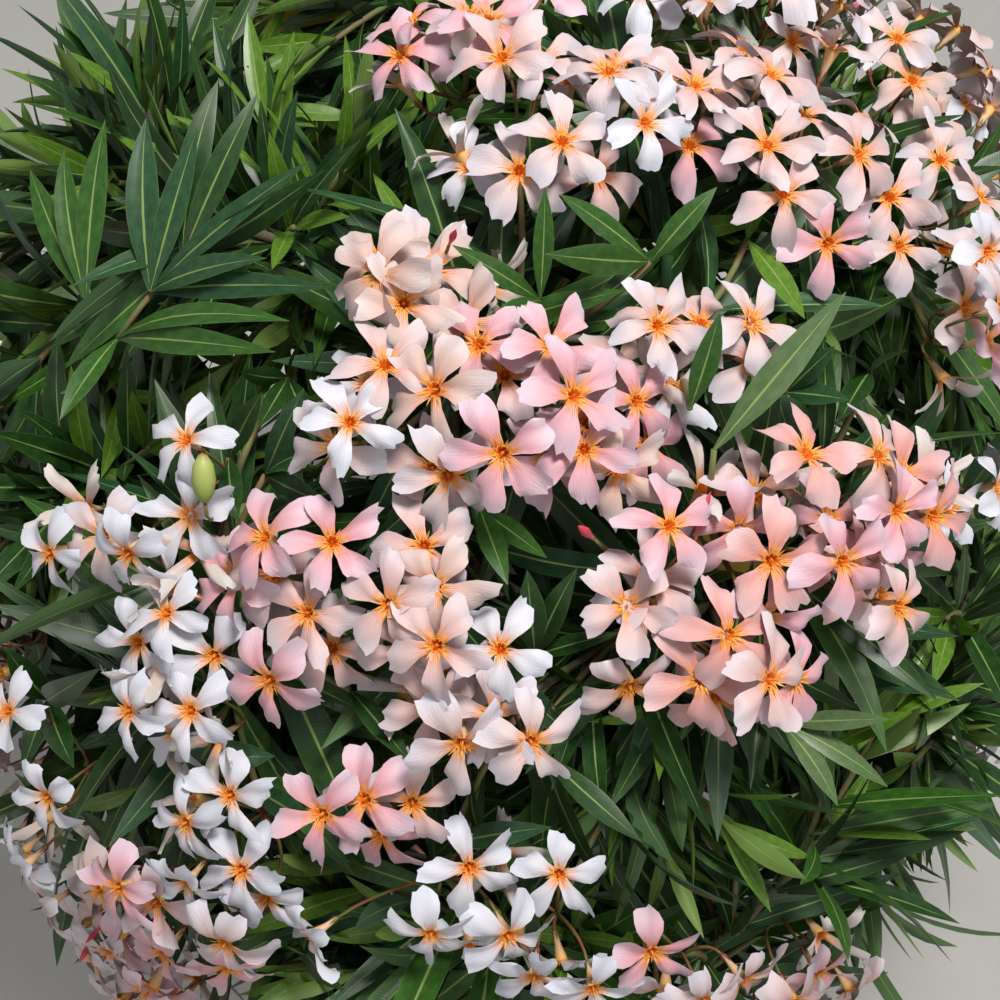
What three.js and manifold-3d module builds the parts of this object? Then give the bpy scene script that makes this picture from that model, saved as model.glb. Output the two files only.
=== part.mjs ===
// A potted oleander in flower: a clay pot filled with soil, one short trunk that forks into boughs, and
// a rounded crown of leafy shoots with flower heads. Millimetres, +Z up, origin at the middle of the
// pot's flat underside. The boughs carry three masses of foliage each, as oleanders branch by threes.
import * as THREE from "three";
import { mergeVertices } from "three/addons/utils/BufferGeometryUtils.js";
import Module from "manifold-3d";

const wasm = await Module();
wasm.setup();

// Driving sizes, in millimetres and degrees. GAP is the clearance between neighbouring pieces.
const GAP = 0.3;
const POT = {
  height: 290, footRadius: 112, rimRadius: 172, wall: 11, floor: 14, rimBand: 46, rimProud: 7, edge: 4,
  drainRadius: 8, drainCircle: 58, drains: 3, sides: 32,
};
const SOIL = { below: 27, clear: 0.9 };
const TRUNK = {
  foot: [-4, 3], lean: [9, -5], height: 88, footRadius: 27, forkRadius: 19, flare: 11, flareReach: 20,
  lobes: 5, lobeDepth: 0.35, sides: 12, steps: 6,
};
const BOUGH = { stub: 42, stubRadius: 12.5, baseRadius: 9.5, tipRadius: 6, sides: 8, steps: 5 };
const STEM = { baseRadius: 4.6, tipRadius: 2.8, sides: 5, steps: 4, bend: 0.55 };
const TWIG = { baseRadius: 3, tipRadius: 1.9, sides: 3, steps: 2, bend: 0.4 };
const LEAF = { length: 138, width: 42, thick: 3, widest: 0.46, arch: 8, droop: 10 };
const FLOWER = { radius: 26, notch: 0.36, depth: 7, throat: 5, neck: 3.2, tube: 15, stalk: 36 };

// The crown's outline is a slightly lobed dome round its middle, down to a tilt a little under level
const CROWN = { middle: 590, radius: 390, rise: 380, lowest: 108, lobes: 3, lobeDepth: 0.05 };

// Where the boughs end, as a share of the crown's radius and a height, and which way they leave the fork
const OUTER_BOUGHS = { count: 5, bearing: -126, reach: 0.48, level: 505, tilt: 46 };
const MIDDLE_BOUGH = { bearing: 60, reach: 0.06, level: 655, tilt: 4 };

// The masses' middles: three round the top on the middle bough, one upper and two lower on each other
const HUBS = { depth: 0.66, topTilt: 17, upperTilt: 47, lowerTilt: 86, lowerSpread: 18 };

// The flower heads that the photograph shows in its middle: bearing from +X and tilt from +Z
const HEADS_IN_VIEW = [
  [-107, 14], [-112, 28], [-87, 25], [-52, 23], [-136, 36], [-117, 39], [-98, 38], [-65, 38],
  [-45, 39], [-110, 53], [-89, 50], [-68, 52],
];

// The other shoot tips lie on an even spiral, where they are far enough from the heads in view. High
// shoots flower more often than low ones, and the leafy sectors of the photograph have no flowers.
const TIPS = { places: 64, spacing: 92, depth: 34, uneven: 24 };
const FLOWERING = { above: 78, share: 0.6, shareBelow: 0.25 };
const LEAFY = [{ bearing: 140, tilt: 45, within: 34 }, { bearing: -52, tilt: 74, within: 22 }];

// Whorls of leaves stand at these shares of a stem or twig, and lean off it more the lower they are
const WHORL = { leaves: 3, onStem: [0.6, 0.87], onTwig: [0.84], lowLean: 66, highLean: 44, rootShare: 0.16 };
const HEAD = { flowers: 3, lean: 50, at: 0.97, clearFrom: 15 };

// Open places of the outline, at two depths, towards which one more leaf grows
const OPEN = {
  places: 600, depths: [0.94, 0.72], clear: 60, nearest: 60, furthest: 175,
  roots: [0.45, 0.55, 0.65, 0.75, 0.85, 0.95], tries: 3,
};

// The turns and shortenings tried for a leaf, the shifts tried for a twig and the least height of a face
const SWINGS = [
  { swing: 0, share: 1 }, { swing: 24, share: 1 }, { swing: -24, share: 1 }, { swing: 8, share: 0.8 },
  { swing: 48, share: 0.85 }, { swing: -48, share: 0.85 }, { swing: -8, share: 0.62 },
];
const SHIFTS = [0, 0.03, 0.06, -0.05];
const FINEST = 0.004;
const GOLDEN_ANGLE = 137.508;

const UP = new THREE.Vector3(0, 0, 1);
const FLOWER_AXIS = new THREE.Vector3(0, 1, 0);
const radians = THREE.MathUtils.degToRad;
const mix = THREE.MathUtils.lerp;
const soilTop = POT.height - SOIL.below;
const crownMiddle = new THREE.Vector3(0, 0, CROWN.middle);

// The same number between 0 and 1 for the same a and b
function chance(a, b = 0) {
  const s = Math.sin(a * 12.9898 + b * 78.233) * 43758.5453;
  return s - Math.floor(s);
}

// A unit vector at a bearing from +X and a tilt from +Z
function towards(bearing, tilt) {
  const across = Math.sin(radians(tilt));
  const turn = radians(bearing);
  return new THREE.Vector3(across * Math.cos(turn), across * Math.sin(turn), Math.cos(radians(tilt)));
}

// The point in a direction from the crown's middle, at a share of the way to its outline
function crownPoint({ x, y, z }, share = 1) {
  const lobe = 1 + CROWN.lobeDepth * Math.sin(CROWN.lobes * Math.atan2(y, x)) * (x * x + y * y);
  return new THREE.Vector3(x * CROWN.radius, y * CROWN.radius, z * CROWN.rise)
    .multiplyScalar(share * lobe).add(crownMiddle);
}

// Directions spread evenly over the crown on a spiral
function spiral(places, start = 0) {
  return Array.from({ length: places }, (_, i) => {
    const level = mix(1, Math.cos(radians(CROWN.lowest)), (i + 0.5) / places);
    return towards(GOLDEN_ANGLE * i + start, THREE.MathUtils.radToDeg(Math.acos(level)));
  });
}

// A solid for joining and cutting, from a closed geometry
function solid(geometry) {
  const bare = geometry.clone();
  bare.deleteAttribute("normal");
  bare.deleteAttribute("uv");
  const merged = mergeVertices(bare, 1e-4);
  return new wasm.Manifold(new wasm.Mesh({
    numProp: 3,
    vertProperties: merged.attributes.position.array,
    triVerts: new Uint32Array(merged.index.array),
  }));
}

// The geometry of a solid that was joined or cut
function geometryOf(manifold) {
  const mesh = manifold.getMesh();
  const points = new Float32Array(mesh.numVert * 3);
  for (let i = 0; i < mesh.numVert; i++) {
    points.set(mesh.vertProperties.subarray(i * mesh.numProp, i * mesh.numProp + 3), i * 3);
  }
  return new THREE.BufferGeometry()
    .setAttribute("position", new THREE.BufferAttribute(points, 3))
    .setIndex(new THREE.BufferAttribute(mesh.triVerts, 1));
}

// Moves every vertex of a geometry by a function
function shaped(geometry, place) {
  const position = geometry.attributes.position;
  const point = new THREE.Vector3();
  for (let i = 0; i < position.count; i++) {
    place(point.fromBufferAttribute(position, i));
    position.setXYZ(i, point.x, point.y, point.z);
  }
  return geometry;
}

// A cylinder bent along a curve, with the radius that radiusAt gives, grown on all sides by grow
function limb(curve, radiusAt, sides, steps, grow = 0, turn = 0) {
  const frames = [];
  let side = new THREE.Vector3(Math.cos(turn), Math.sin(turn), 0);
  for (let i = 0; i <= steps; i++) {
    const tangent = curve.getTangent(i / steps);
    if (i === 0 && Math.abs(side.dot(tangent)) > 0.9) side.set(-Math.sin(turn), Math.cos(turn), 0);
    side = side.clone().addScaledVector(tangent, -side.dot(tangent)).normalize();
    frames.push({ tangent, side, other: side.clone().cross(tangent) });
  }
  const tube = new THREE.CylinderGeometry(1, 1, 1, sides, steps);
  return solid(shaped(tube, (p) => {
    const t = p.y + 0.5;
    const { tangent, side: across, other } = frames[Math.round(t * steps)];
    const radius = radiusAt(t, Math.atan2(p.z, p.x)) + grow;
    const end = t < 0.01 ? -grow : t > 0.99 ? grow : 0;
    const { x, z } = p;
    p.copy(curve.getPoint(t)).addScaledVector(across, x * radius).addScaledVector(other, z * radius)
      .addScaledVector(tangent, end);
  }));
}

// True if a solid is one body without a hollow, and no face is thinner than the finest height, as joins
// at a grazing angle leave them
function sound(shape) {
  if (shape.decompose().length > 1) return false;
  const { vertProperties, triVerts, numProp } = shape.getMesh();
  const corner = (i) => new THREE.Vector3().fromArray(vertProperties, triVerts[i] * numProp);
  for (let i = 0; i < triVerts.length; i += 3) {
    const [a, b, c] = [corner(i), corner(i + 1), corner(i + 2)];
    const longest = Math.max(a.distanceTo(b), b.distanceTo(c), c.distanceTo(a));
    if (b.sub(a).cross(c.sub(a)).length() < FINEST * longest) return false;
  }
  return true;
}

// The first sound form of a piece among turns of its facets about its own axis
function firstSound(name, make) {
  for (let turn = 0; turn < 3; turn += 0.17) {
    const shape = make(turn);
    if (sound(shape)) return { shape, turn };
  }
  throw new Error(`${name} has no sound form`);
}

// The point at a share of a limb's length, on the straight runs between its rings
function along({ curve, steps }, t) {
  const run = Math.min(Math.floor(t * steps), steps - 1);
  return curve.getPoint(run / steps).lerp(curve.getPoint((run + 1) / steps), t * steps - run);
}

// A curve from one point to another that leaves in a given direction
function reach(from, direction, to, share = 0.45) {
  const bend = from.clone().addScaledVector(direction, from.distanceTo(to) * share);
  return new THREE.QuadraticBezierCurve3(from, bend, to);
}

// A solid turned about +Z, from a profile of radius and height that starts and ends on the axis
function turned(profile) {
  const points = profile.map(([radius, height]) => new THREE.Vector2(radius, height));
  return solid(new THREE.LatheGeometry(points, POT.sides).rotateX(Math.PI / 2));
}

// The pot's inner wall: its radius at the floor, under the rim band and at the mouth
const bandFoot = POT.height - POT.rimBand;
const bodyTop = mix(POT.footRadius, POT.rimRadius - POT.rimProud, bandFoot / POT.height);
const inside = { floor: POT.footRadius - POT.wall + 3, band: bodyTop - POT.wall, mouth: POT.rimRadius - 18 };

// The pot is turned on one profile, with a thick rim band, and has drain holes through its floor
function potSolid() {
  const { height, footRadius, rimRadius, floor, rimProud, edge } = POT;
  let pot = turned([
    [0, 0], [footRadius - edge, 0], [footRadius, edge], [bodyTop, bandFoot],
    [bodyTop + rimProud, bandFoot + edge], [rimRadius, height - 2 * edge], [rimRadius - edge, height],
    [inside.mouth + edge, height], [inside.mouth, height - edge], [inside.band, bandFoot],
    [inside.floor, floor], [0, floor],
  ]);
  for (let i = 0; i < POT.drains; i++) {
    const turn = (2 * Math.PI * (i + 0.25)) / POT.drains;
    const drill = new THREE.CylinderGeometry(POT.drainRadius, POT.drainRadius, floor * 3, 12)
      .rotateX(Math.PI / 2)
      .translate(POT.drainCircle * Math.cos(turn), POT.drainCircle * Math.sin(turn), floor / 2);
    pot = pot.subtract(solid(drill));
  }
  return pot;
}

// The soil fills the pot to a little under its rim and lies clear of its wall
function soilSolid() {
  const top = mix(inside.band, inside.mouth, (soilTop - bandFoot) / (POT.height - POT.edge - bandFoot));
  return turned([
    [0, POT.floor + GAP], [inside.floor - SOIL.clear, POT.floor + GAP], [inside.band - SOIL.clear, bandFoot],
    [top - SOIL.clear, soilTop], [0, soilTop],
  ]);
}

// The boughs' tips: one in the middle of the crown and a ring round it
function boughTips() {
  const outer = Array.from({ length: OUTER_BOUGHS.count }, (_, i) => {
    const bearing = OUTER_BOUGHS.bearing + (360 / OUTER_BOUGHS.count) * i;
    return { ...OUTER_BOUGHS, name: `bough_outer_${i + 1}`, bearing };
  });
  return [{ ...MIDDLE_BOUGH, name: "bough_middle" }, ...outer].map((bough, i) => {
    const point = towards(bough.bearing, 90).multiplyScalar(CROWN.radius * bough.reach);
    point.z = bough.level + 24 * (chance(i, 1) - 0.5);
    const leaves = towards(bough.bearing + 8 * (chance(i, 2) - 0.5), bough.tilt + 5 * (chance(i, 3) - 0.5));
    return { ...bough, point, leaves };
  });
}

// The masses, each with its bough and the middle of its own space
function massPlaces(boughs) {
  const places = [];
  const add = (name, bough, bearing, tilt) => {
    const direction = towards(bearing, tilt);
    places.push({ name, bough, direction, hub: crownPoint(direction, HUBS.depth) });
  };
  const [middle, ...outer] = boughs;
  for (let i = 0; i < 3; i++) add(`foliage_top_${i + 1}`, middle, -90 + 120 * i, HUBS.topTilt);
  outer.forEach((bough, i) => {
    add(`foliage_upper_${i + 1}`, bough, bough.bearing, HUBS.upperTilt);
    add(`foliage_lower_${2 * i + 1}`, bough, bough.bearing - HUBS.lowerSpread, HUBS.lowerTilt);
    add(`foliage_lower_${2 * i + 2}`, bough, bough.bearing + HUBS.lowerSpread, HUBS.lowerTilt);
  });
  return places;
}

// Shoot tips over the crown: the heads in view, then the spiral where there is room for more
function shootTips() {
  const tips = HEADS_IN_VIEW.map(([bearing, tilt]) => ({ direction: towards(bearing, tilt), flowers: true }));
  const leafy = LEAFY.map(({ bearing, tilt, within }) => ({ direction: towards(bearing, tilt), within }));
  spiral(TIPS.places).forEach((direction, i) => {
    const place = crownPoint(direction);
    if (tips.some((tip) => crownPoint(tip.direction).distanceTo(place) < TIPS.spacing)) return;
    const inLeaf = leafy.some((sector) => direction.angleTo(sector.direction) < radians(sector.within));
    const high = direction.angleTo(UP) < radians(FLOWERING.above);
    const share = high ? FLOWERING.share : FLOWERING.shareBelow;
    tips.push({ direction, flowers: !inLeaf && chance(i, 7) < share });
  });
  return tips.map((tip, index) => {
    const depth = TIPS.depth + TIPS.uneven * (chance(index, 4) - 0.5);
    return { ...tip, index, point: crownPoint(tip.direction).addScaledVector(tip.direction, -depth) };
  });
}

// A leaf of eight faces: an octahedron drawn out along a direction, its root at a point
function leafSolid(root, direction, upwards, length) {
  const above = upwards.clone().addScaledVector(direction, -upwards.dot(direction)).normalize();
  const across = above.clone().cross(direction);
  const frame = new THREE.Matrix4().makeBasis(direction, across, above).setPosition(root);
  const size = length / LEAF.length;
  const blade = shaped(new THREE.OctahedronGeometry(1), (p) => {
    const middle = Math.abs(p.x) < 0.5;
    const bow = (middle ? LEAF.arch : (p.x + 1) * -LEAF.droop / 2) * size;
    const reached = middle ? LEAF.widest : (p.x + 1) / 2;
    p.set(reached * length, p.y * LEAF.width * size / 2, p.z * LEAF.thick / 2 + bow);
  });
  return solid(blade.applyMatrix4(frame));
}

// A flower: a tube of five sides that opens into a star of five petals, its stalk's foot at a point
function flowerSolid(foot, direction, turn, from = 0) {
  const { radius, notch, depth, throat, neck, tube, stalk } = FLOWER;
  const profile = [[0, from], [neck, stalk - tube], [radius, stalk], [0, stalk - throat]]
    .map(([r, z]) => new THREE.Vector2(r, z));
  const funnel = shaped(new THREE.LatheGeometry(profile, 10), (p) => {
    const step = Math.round((Math.atan2(p.x, p.z) / Math.PI) * 5);
    if (step % 2 === 0) return;
    if (Math.hypot(p.x, p.z) > neck * 2) p.set(p.x * notch, p.y - depth, p.z * notch);
    else if (p.y > from) p.applyAxisAngle(FLOWER_AXIS, Math.PI / 5);
  });
  funnel.rotateY(turn);
  const pose = new THREE.Quaternion().setFromUnitVectors(FLOWER_AXIS, direction);
  return solid(funnel.applyQuaternion(pose).translate(foot.x, foot.y, foot.z));
}

// True if a point lies in the mass's own space, which is nearer its hub than any other's
const keepsTo = (place, places, point) => places.every((other) => {
  if (other === place) return true;
  const away = other.hub.clone().sub(place.hub).normalize();
  const half = other.hub.clone().add(place.hub).multiplyScalar(0.5);
  return point.clone().sub(half).dot(away) < -GAP;
});

// True if all of a solid's corners lie there
function allKeepsTo(place, places, shape) {
  const { vertProperties, numProp, numVert } = shape.getMesh();
  for (let i = 0; i < numVert; i++) {
    if (!keepsTo(place, places, new THREE.Vector3().fromArray(vertProperties, i * numProp))) return false;
  }
  return true;
}

const largest = (shape) => shape.decompose().sort((a, b) => b.volume() - a.volume())[0];
const touches = (a, b) => !a.intersect(b).isEmpty();

// A stem from its bough's tip through the mass, on to the tip nearest its hub's direction. Where three
// stems leave one tip, each is cut clear of the bough and of the stems before it.
function stemOf(place, tips, before) {
  const own = tips.filter((tip) => tip.place === place);
  own.sort((a, b) => a.direction.angleTo(place.direction) - b.direction.angleTo(place.direction));
  const outward = place.hub.clone().sub(place.bough.point).normalize();
  const start = place.bough.point.clone().addScaledVector(outward, BOUGH.tipRadius / 2);
  const curve = reach(start, outward, own[0].point, STEM.bend);
  const radiusAt = (t) => mix(STEM.baseRadius, STEM.tipRadius, t);
  const { shape, turn } = firstSound(place.name, (facets) => {
    let wood = limb(curve, radiusAt, STEM.sides, STEM.steps, 0, facets);
    for (const near of [place.bough, ...before]) wood = wood.subtract(near.grown);
    return largest(wood);
  });
  const grown = limb(curve, radiusAt, STEM.sides, STEM.steps, GAP, turn);
  return { place, curve, radiusAt, steps: STEM.steps, whorls: WHORL.onStem, own, solid: shape, grown };
}

// A direction that leans off an axis by an angle, at a turn about it
function leaning(axis, angle, turn) {
  const level = Math.abs(axis.z) > 0.9 ? new THREE.Vector3(1, 0, 0) : UP;
  const hinge = new THREE.Vector3().crossVectors(axis, level).normalize().applyAxisAngle(axis, radians(turn));
  return axis.clone().applyAxisAngle(hinge, radians(angle));
}

// A root inside a shoot, on the side of its axis that a direction leaves from
function beside(shoot, t, axis, direction) {
  const side = direction.clone().addScaledVector(axis, -direction.dot(axis)).normalize();
  return along(shoot, t).addScaledVector(side, 0.4 * shoot.radiusAt(t));
}

// One mass: its stem, the twigs to its tips, flower heads at the tips and whorls of three leaves. Each
// leaf or flower is tried at some turns and lengths, and kept if it clears the limbs and the others.
function massSolid(stem, places, foreign, open) {
  const { place } = stem;
  const clearOf = (shape) => allKeepsTo(place, places, shape) && !touches(foreign, shape);
  let whole = stem.solid;

  const shoots = [{ ...stem, tip: stem.own[0] }];
  const twigRadius = (t) => mix(TWIG.baseRadius, TWIG.tipRadius, t);
  for (const tip of stem.own.slice(1)) {
    SHIFTS.some((shift) => {
      const t = mix(0.5, 0.9, chance(tip.index, 11)) + shift;
      const curve = reach(along(stem, t), stem.curve.getTangent(t), tip.point, TWIG.bend);
      const twig = limb(curve, twigRadius, TWIG.sides, TWIG.steps);
      const joined = whole.add(twig);
      if (!clearOf(twig) || !sound(joined)) return false;
      whole = joined;
      shoots.push({ curve, radiusAt: twigRadius, steps: TWIG.steps, whorls: WHORL.onTwig, tip });
      return true;
    });
  }

  let taken = whole;
  const added = (shape, clear) => {
    if (!clearOf(shape) || touches(taken, clear)) return false;
    const joined = whole.add(shape);
    if (!sound(joined)) return false;
    whole = joined;
    taken = taken.add(clear);
    return true;
  };

  for (const shoot of shoots.filter(({ tip }) => tip.flowers)) {
    const { tip } = shoot;
    const axis = shoot.curve.getTangent(1).lerp(tip.direction, 0.6).normalize();
    for (let k = 0; k < HEAD.flowers; k++) {
      const turn = (360 / HEAD.flowers) * k + 120 * chance(tip.index, 5);
      const twist = 2 * Math.PI * chance(tip.index, k);
      SWINGS.some(({ swing }) => {
        const direction = leaning(axis, HEAD.lean, turn + swing / 2);
        const foot = beside(shoot, HEAD.at, axis, direction);
        return added(flowerSolid(foot, direction, twist), flowerSolid(foot, direction, twist, HEAD.clearFrom));
      });
    }
  }

  // A leaf that roots at a share of a shoot, and points where directionAt says for a turn about its axis
  const middles = [];
  const leafed = (shoot, t, directionAt, length) => SWINGS.some(({ swing, share }) => {
    const axis = shoot.curve.getTangent(t);
    const direction = directionAt(axis, swing);
    const root = beside(shoot, t, axis, direction);
    const outward = root.clone().sub(crownMiddle).normalize().addScaledVector(axis, 0.4);
    const clear = root.clone().addScaledVector(direction, WHORL.rootShare * length);
    const done = added(leafSolid(root, direction, outward, length * share),
      leafSolid(clear, direction, outward, length * share * (1 - WHORL.rootShare)));
    if (done) middles.push(root.clone().addScaledVector(direction, 0.55 * length * share));
    return done;
  });
  for (const shoot of shoots) {
    shoot.whorls.forEach((t, w) => {
      for (let k = 0; k < WHORL.leaves; k++) {
        const seed = shoot.tip.index * 9 + w;
        const lean = mix(WHORL.lowLean, WHORL.highLean, t) + 10 * (chance(seed, k) - 0.5);
        const turn = (360 / WHORL.leaves) * k + 60 * w + 360 * chance(shoot.tip.index, 6);
        const length = LEAF.length * mix(0.86, 1.14, chance(seed, k + 20));
        leafed(shoot, t, (axis, swing) => leaning(axis, lean, turn + swing), length);
      }
    });
  }

  // Leaves turn to the light: one more grows towards each place of the outline that is still open
  for (const spot of open) {
    if (!keepsTo(place, places, spot) || middles.some((m) => m.distanceTo(spot) < OPEN.clear)) continue;
    const roots = shoots.flatMap((shoot) => OPEN.roots.map((t) => {
      const point = along(shoot, t);
      return { shoot, t, point, distance: point.distanceTo(spot) };
    })).filter(({ distance }) => distance > OPEN.nearest && distance < OPEN.furthest);
    roots.sort((a, b) => a.distance - b.distance);
    roots.slice(0, OPEN.tries).some(({ shoot, t, point, distance }) => {
      const direction = spot.clone().sub(point).normalize();
      const length = THREE.MathUtils.clamp(1.2 * distance, 0.66 * LEAF.length, 1.15 * LEAF.length);
      const directionAt = (axis, swing) => direction.clone().applyAxisAngle(axis, radians(swing));
      return leafed(shoot, t, directionAt, length);
    });
  }
  return whole;
}

const finishes = {
  clay: new THREE.MeshStandardMaterial({ color: 0xb86a45, roughness: 0.85, metalness: 0 }),
  soil: new THREE.MeshStandardMaterial({ color: 0x3a2a1e, roughness: 1, metalness: 0 }),
  bark: new THREE.MeshStandardMaterial({ color: 0x8a8072, roughness: 0.9, metalness: 0 }),
  foliage: new THREE.MeshStandardMaterial({ color: 0x2f5a2c, roughness: 0.55, metalness: 0 }),
};

// Adds a named mesh with its finish to a group
function addPiece(group, name, manifold, finish) {
  const mesh = new THREE.Mesh(geometryOf(manifold), finishes[finish]);
  mesh.name = name;
  group.add(mesh);
}

const container = new THREE.Group();
addPiece(container, "pot", potSolid(), "clay");
addPiece(container, "soil", soilSolid(), "soil");

// The trunk leans a little, flares at its foot and ends in a fork with one stub for each bough
const wood = new THREE.Group();
const foot = new THREE.Vector3(...TRUNK.foot, soilTop + GAP);
const fork = foot.clone().add(new THREE.Vector3(...TRUNK.lean, TRUNK.height));
const trunkRadius = (t, around) => {
  const lobes = 1 + TRUNK.lobeDepth * Math.sin(TRUNK.lobes * around);
  const flare = TRUNK.flare * Math.exp((-t * TRUNK.height) / TRUNK.flareReach);
  return mix(TRUNK.footRadius, TRUNK.forkRadius, t) + flare * lobes;
};
const knuckle = new THREE.SphereGeometry(TRUNK.forkRadius, 10, 6).translate(fork.x, fork.y, fork.z);
let trunk = limb(reach(foot, UP, fork, 0.5), trunkRadius, TRUNK.sides, TRUNK.steps).add(solid(knuckle));
const boughs = boughTips();
for (const bough of boughs) {
  bough.start = fork.clone().addScaledVector(bough.leaves, BOUGH.stub);
  const stub = new THREE.LineCurve3(fork, bough.start);
  const stubRadius = (t) => mix(BOUGH.stubRadius, BOUGH.baseRadius, t);
  const before = trunk;
  const joined = (turn) => before.add(limb(stub, stubRadius, BOUGH.sides, 1, 0, turn));
  trunk = firstSound(bough.name, joined).shape;
}
addPiece(wood, "trunk", trunk, "bark");

// Each bough starts clear of its stub, bends up and ends where it enters its masses
for (const bough of boughs) {
  const from = bough.start.clone().addScaledVector(bough.leaves, GAP);
  const curve = reach(from, bough.leaves, bough.point, 0.5);
  const radiusAt = (t) => mix(BOUGH.baseRadius, BOUGH.tipRadius, t);
  bough.grown = limb(curve, radiusAt, BOUGH.sides, BOUGH.steps, GAP);
  addPiece(wood, bough.name, limb(curve, radiusAt, BOUGH.sides, BOUGH.steps), "bark");
}

// Each shoot tip belongs to the mass whose middle is nearest
const crown = new THREE.Group();
const places = massPlaces(boughs);
const tips = shootTips();
for (const tip of tips) {
  const distances = places.map((place) => place.hub.distanceTo(tip.point));
  tip.place = places[distances.indexOf(Math.min(...distances))];
}
const open = OPEN.depths.flatMap((share) =>
  spiral(Math.round(OPEN.places * share * share), 40).map((direction) => crownPoint(direction, share)));
const stems = [];
for (const place of places) {
  stems.push(stemOf(place, tips, stems.filter((stem) => stem.place.bough === place.bough)));
}
for (const stem of stems) {
  const others = [...boughs, ...stems].filter((limbOf) => limbOf !== stem);
  const foreign = wasm.Manifold.union([trunk, ...others.map((limbOf) => limbOf.grown)]);
  addPiece(crown, stem.place.name, massSolid(stem, places, foreign, open), "foliage");
}

const plant = new THREE.Group();
plant.add(container, wood, crown);

export default plant;
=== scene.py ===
import bmesh
import bpy
import numpy as np
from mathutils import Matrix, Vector


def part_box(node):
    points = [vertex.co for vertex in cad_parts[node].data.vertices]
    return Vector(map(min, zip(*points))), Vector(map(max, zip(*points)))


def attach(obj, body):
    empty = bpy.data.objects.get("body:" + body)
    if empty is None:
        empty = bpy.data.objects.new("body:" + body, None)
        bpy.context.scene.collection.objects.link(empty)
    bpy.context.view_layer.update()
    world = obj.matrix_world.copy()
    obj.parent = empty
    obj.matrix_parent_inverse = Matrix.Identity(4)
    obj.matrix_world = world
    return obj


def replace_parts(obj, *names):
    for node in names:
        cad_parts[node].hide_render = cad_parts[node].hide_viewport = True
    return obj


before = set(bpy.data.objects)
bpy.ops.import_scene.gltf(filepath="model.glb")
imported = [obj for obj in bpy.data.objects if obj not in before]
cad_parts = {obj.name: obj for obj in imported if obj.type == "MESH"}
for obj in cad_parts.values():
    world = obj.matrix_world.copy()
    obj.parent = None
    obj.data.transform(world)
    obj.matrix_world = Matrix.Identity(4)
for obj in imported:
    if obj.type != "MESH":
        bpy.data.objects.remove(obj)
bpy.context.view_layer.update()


# The pot is thrown terracotta with a thick rim band, fired and left unglazed. Its wall keeps the faint
# rings of the throwing and a bloom of lime, and three drain holes go through its floor.
pot_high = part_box("pot")[1]
POT_HEIGHT = pot_high.z
RIM_RADIUS = pot_high.x
FOOT_RADIUS = 0.112
WALL = 0.011
LIP = 0.018
RIM_BAND = 0.046
RIM_PROUD = 0.007
FLOOR = 0.014
DRAIN_RADIUS = 0.008
DRAIN_CIRCLE = 0.058
DRAINS = 3
DRAIN_SIDES = 24
DRILL_FOOT = -0.01
DRILL_TIP = 0.03
THROWING_RING = 0.0085
RING_DEPTH = 0.00035
OUT_OF_ROUND = 0.0005
POT_STEP = 0.004
POT_SIDES = 112
WELD = 1e-6
TERRACOTTA = (0.46, 0.175, 0.085, 1)
PALE_CLAY = (0.60, 0.30, 0.18, 1)
LIME_BLOOM = (0.66, 0.58, 0.50, 1)


def rounded_outline(corners, radii, steps=6):
    """The outline through some corners, each turned into the parabola (1-t)^2 A + 2t(1-t) C + t^2 B,
    where A and B lie one radius away from the corner C."""
    corners = np.asarray(corners, float)
    t = np.linspace(0, 1, steps)[:, None]
    parts = [corners[:1]]
    for before, corner, after, radius in zip(corners, corners[1:], corners[2:], radii):
        a = corner + (before - corner) * radius / np.linalg.norm(before - corner)
        b = corner + (after - corner) * radius / np.linalg.norm(after - corner)
        parts.append((1 - t) ** 2 * a + 2 * t * (1 - t) * corner + t ** 2 * b)
    return np.concatenate(parts + [corners[-1:]])


def evenly(outline, spacing):
    """The same outline with each straight run cut into equal steps no longer than the spacing."""
    runs = np.linalg.norm(np.diff(outline, axis=0), axis=1)
    counts = np.maximum(1, np.ceil(runs / spacing)).astype(int)
    parts = [a + (b - a) * np.arange(n)[:, None] / n for a, b, n in zip(outline, outline[1:], counts)]
    return np.concatenate(parts + [outline[-1:]])


def turned(outline, around):
    """A grid turned about +Z: x = r cos a, y = r sin a, z = height, for each (r, height) and angle a."""
    angle = np.linspace(0, 2 * np.pi, around, endpoint=False)
    radius, height = outline[:, :1], outline[:, 1:]
    return np.stack([radius * np.cos(angle), radius * np.sin(angle), height + 0 * angle], axis=-1)


def grid_faces(rows, columns, ring=True):
    """The four corners of each cell of a grid of points, whose columns close on themselves in a ring."""
    i, j = np.meshgrid(np.arange(rows - 1), np.arange(columns if ring else columns - 1), indexing="ij")
    k = (j + 1) % columns
    cells = np.stack([i * columns + j, i * columns + k, (i + 1) * columns + k, (i + 1) * columns + j])
    return cells.reshape(4, -1).T


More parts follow.
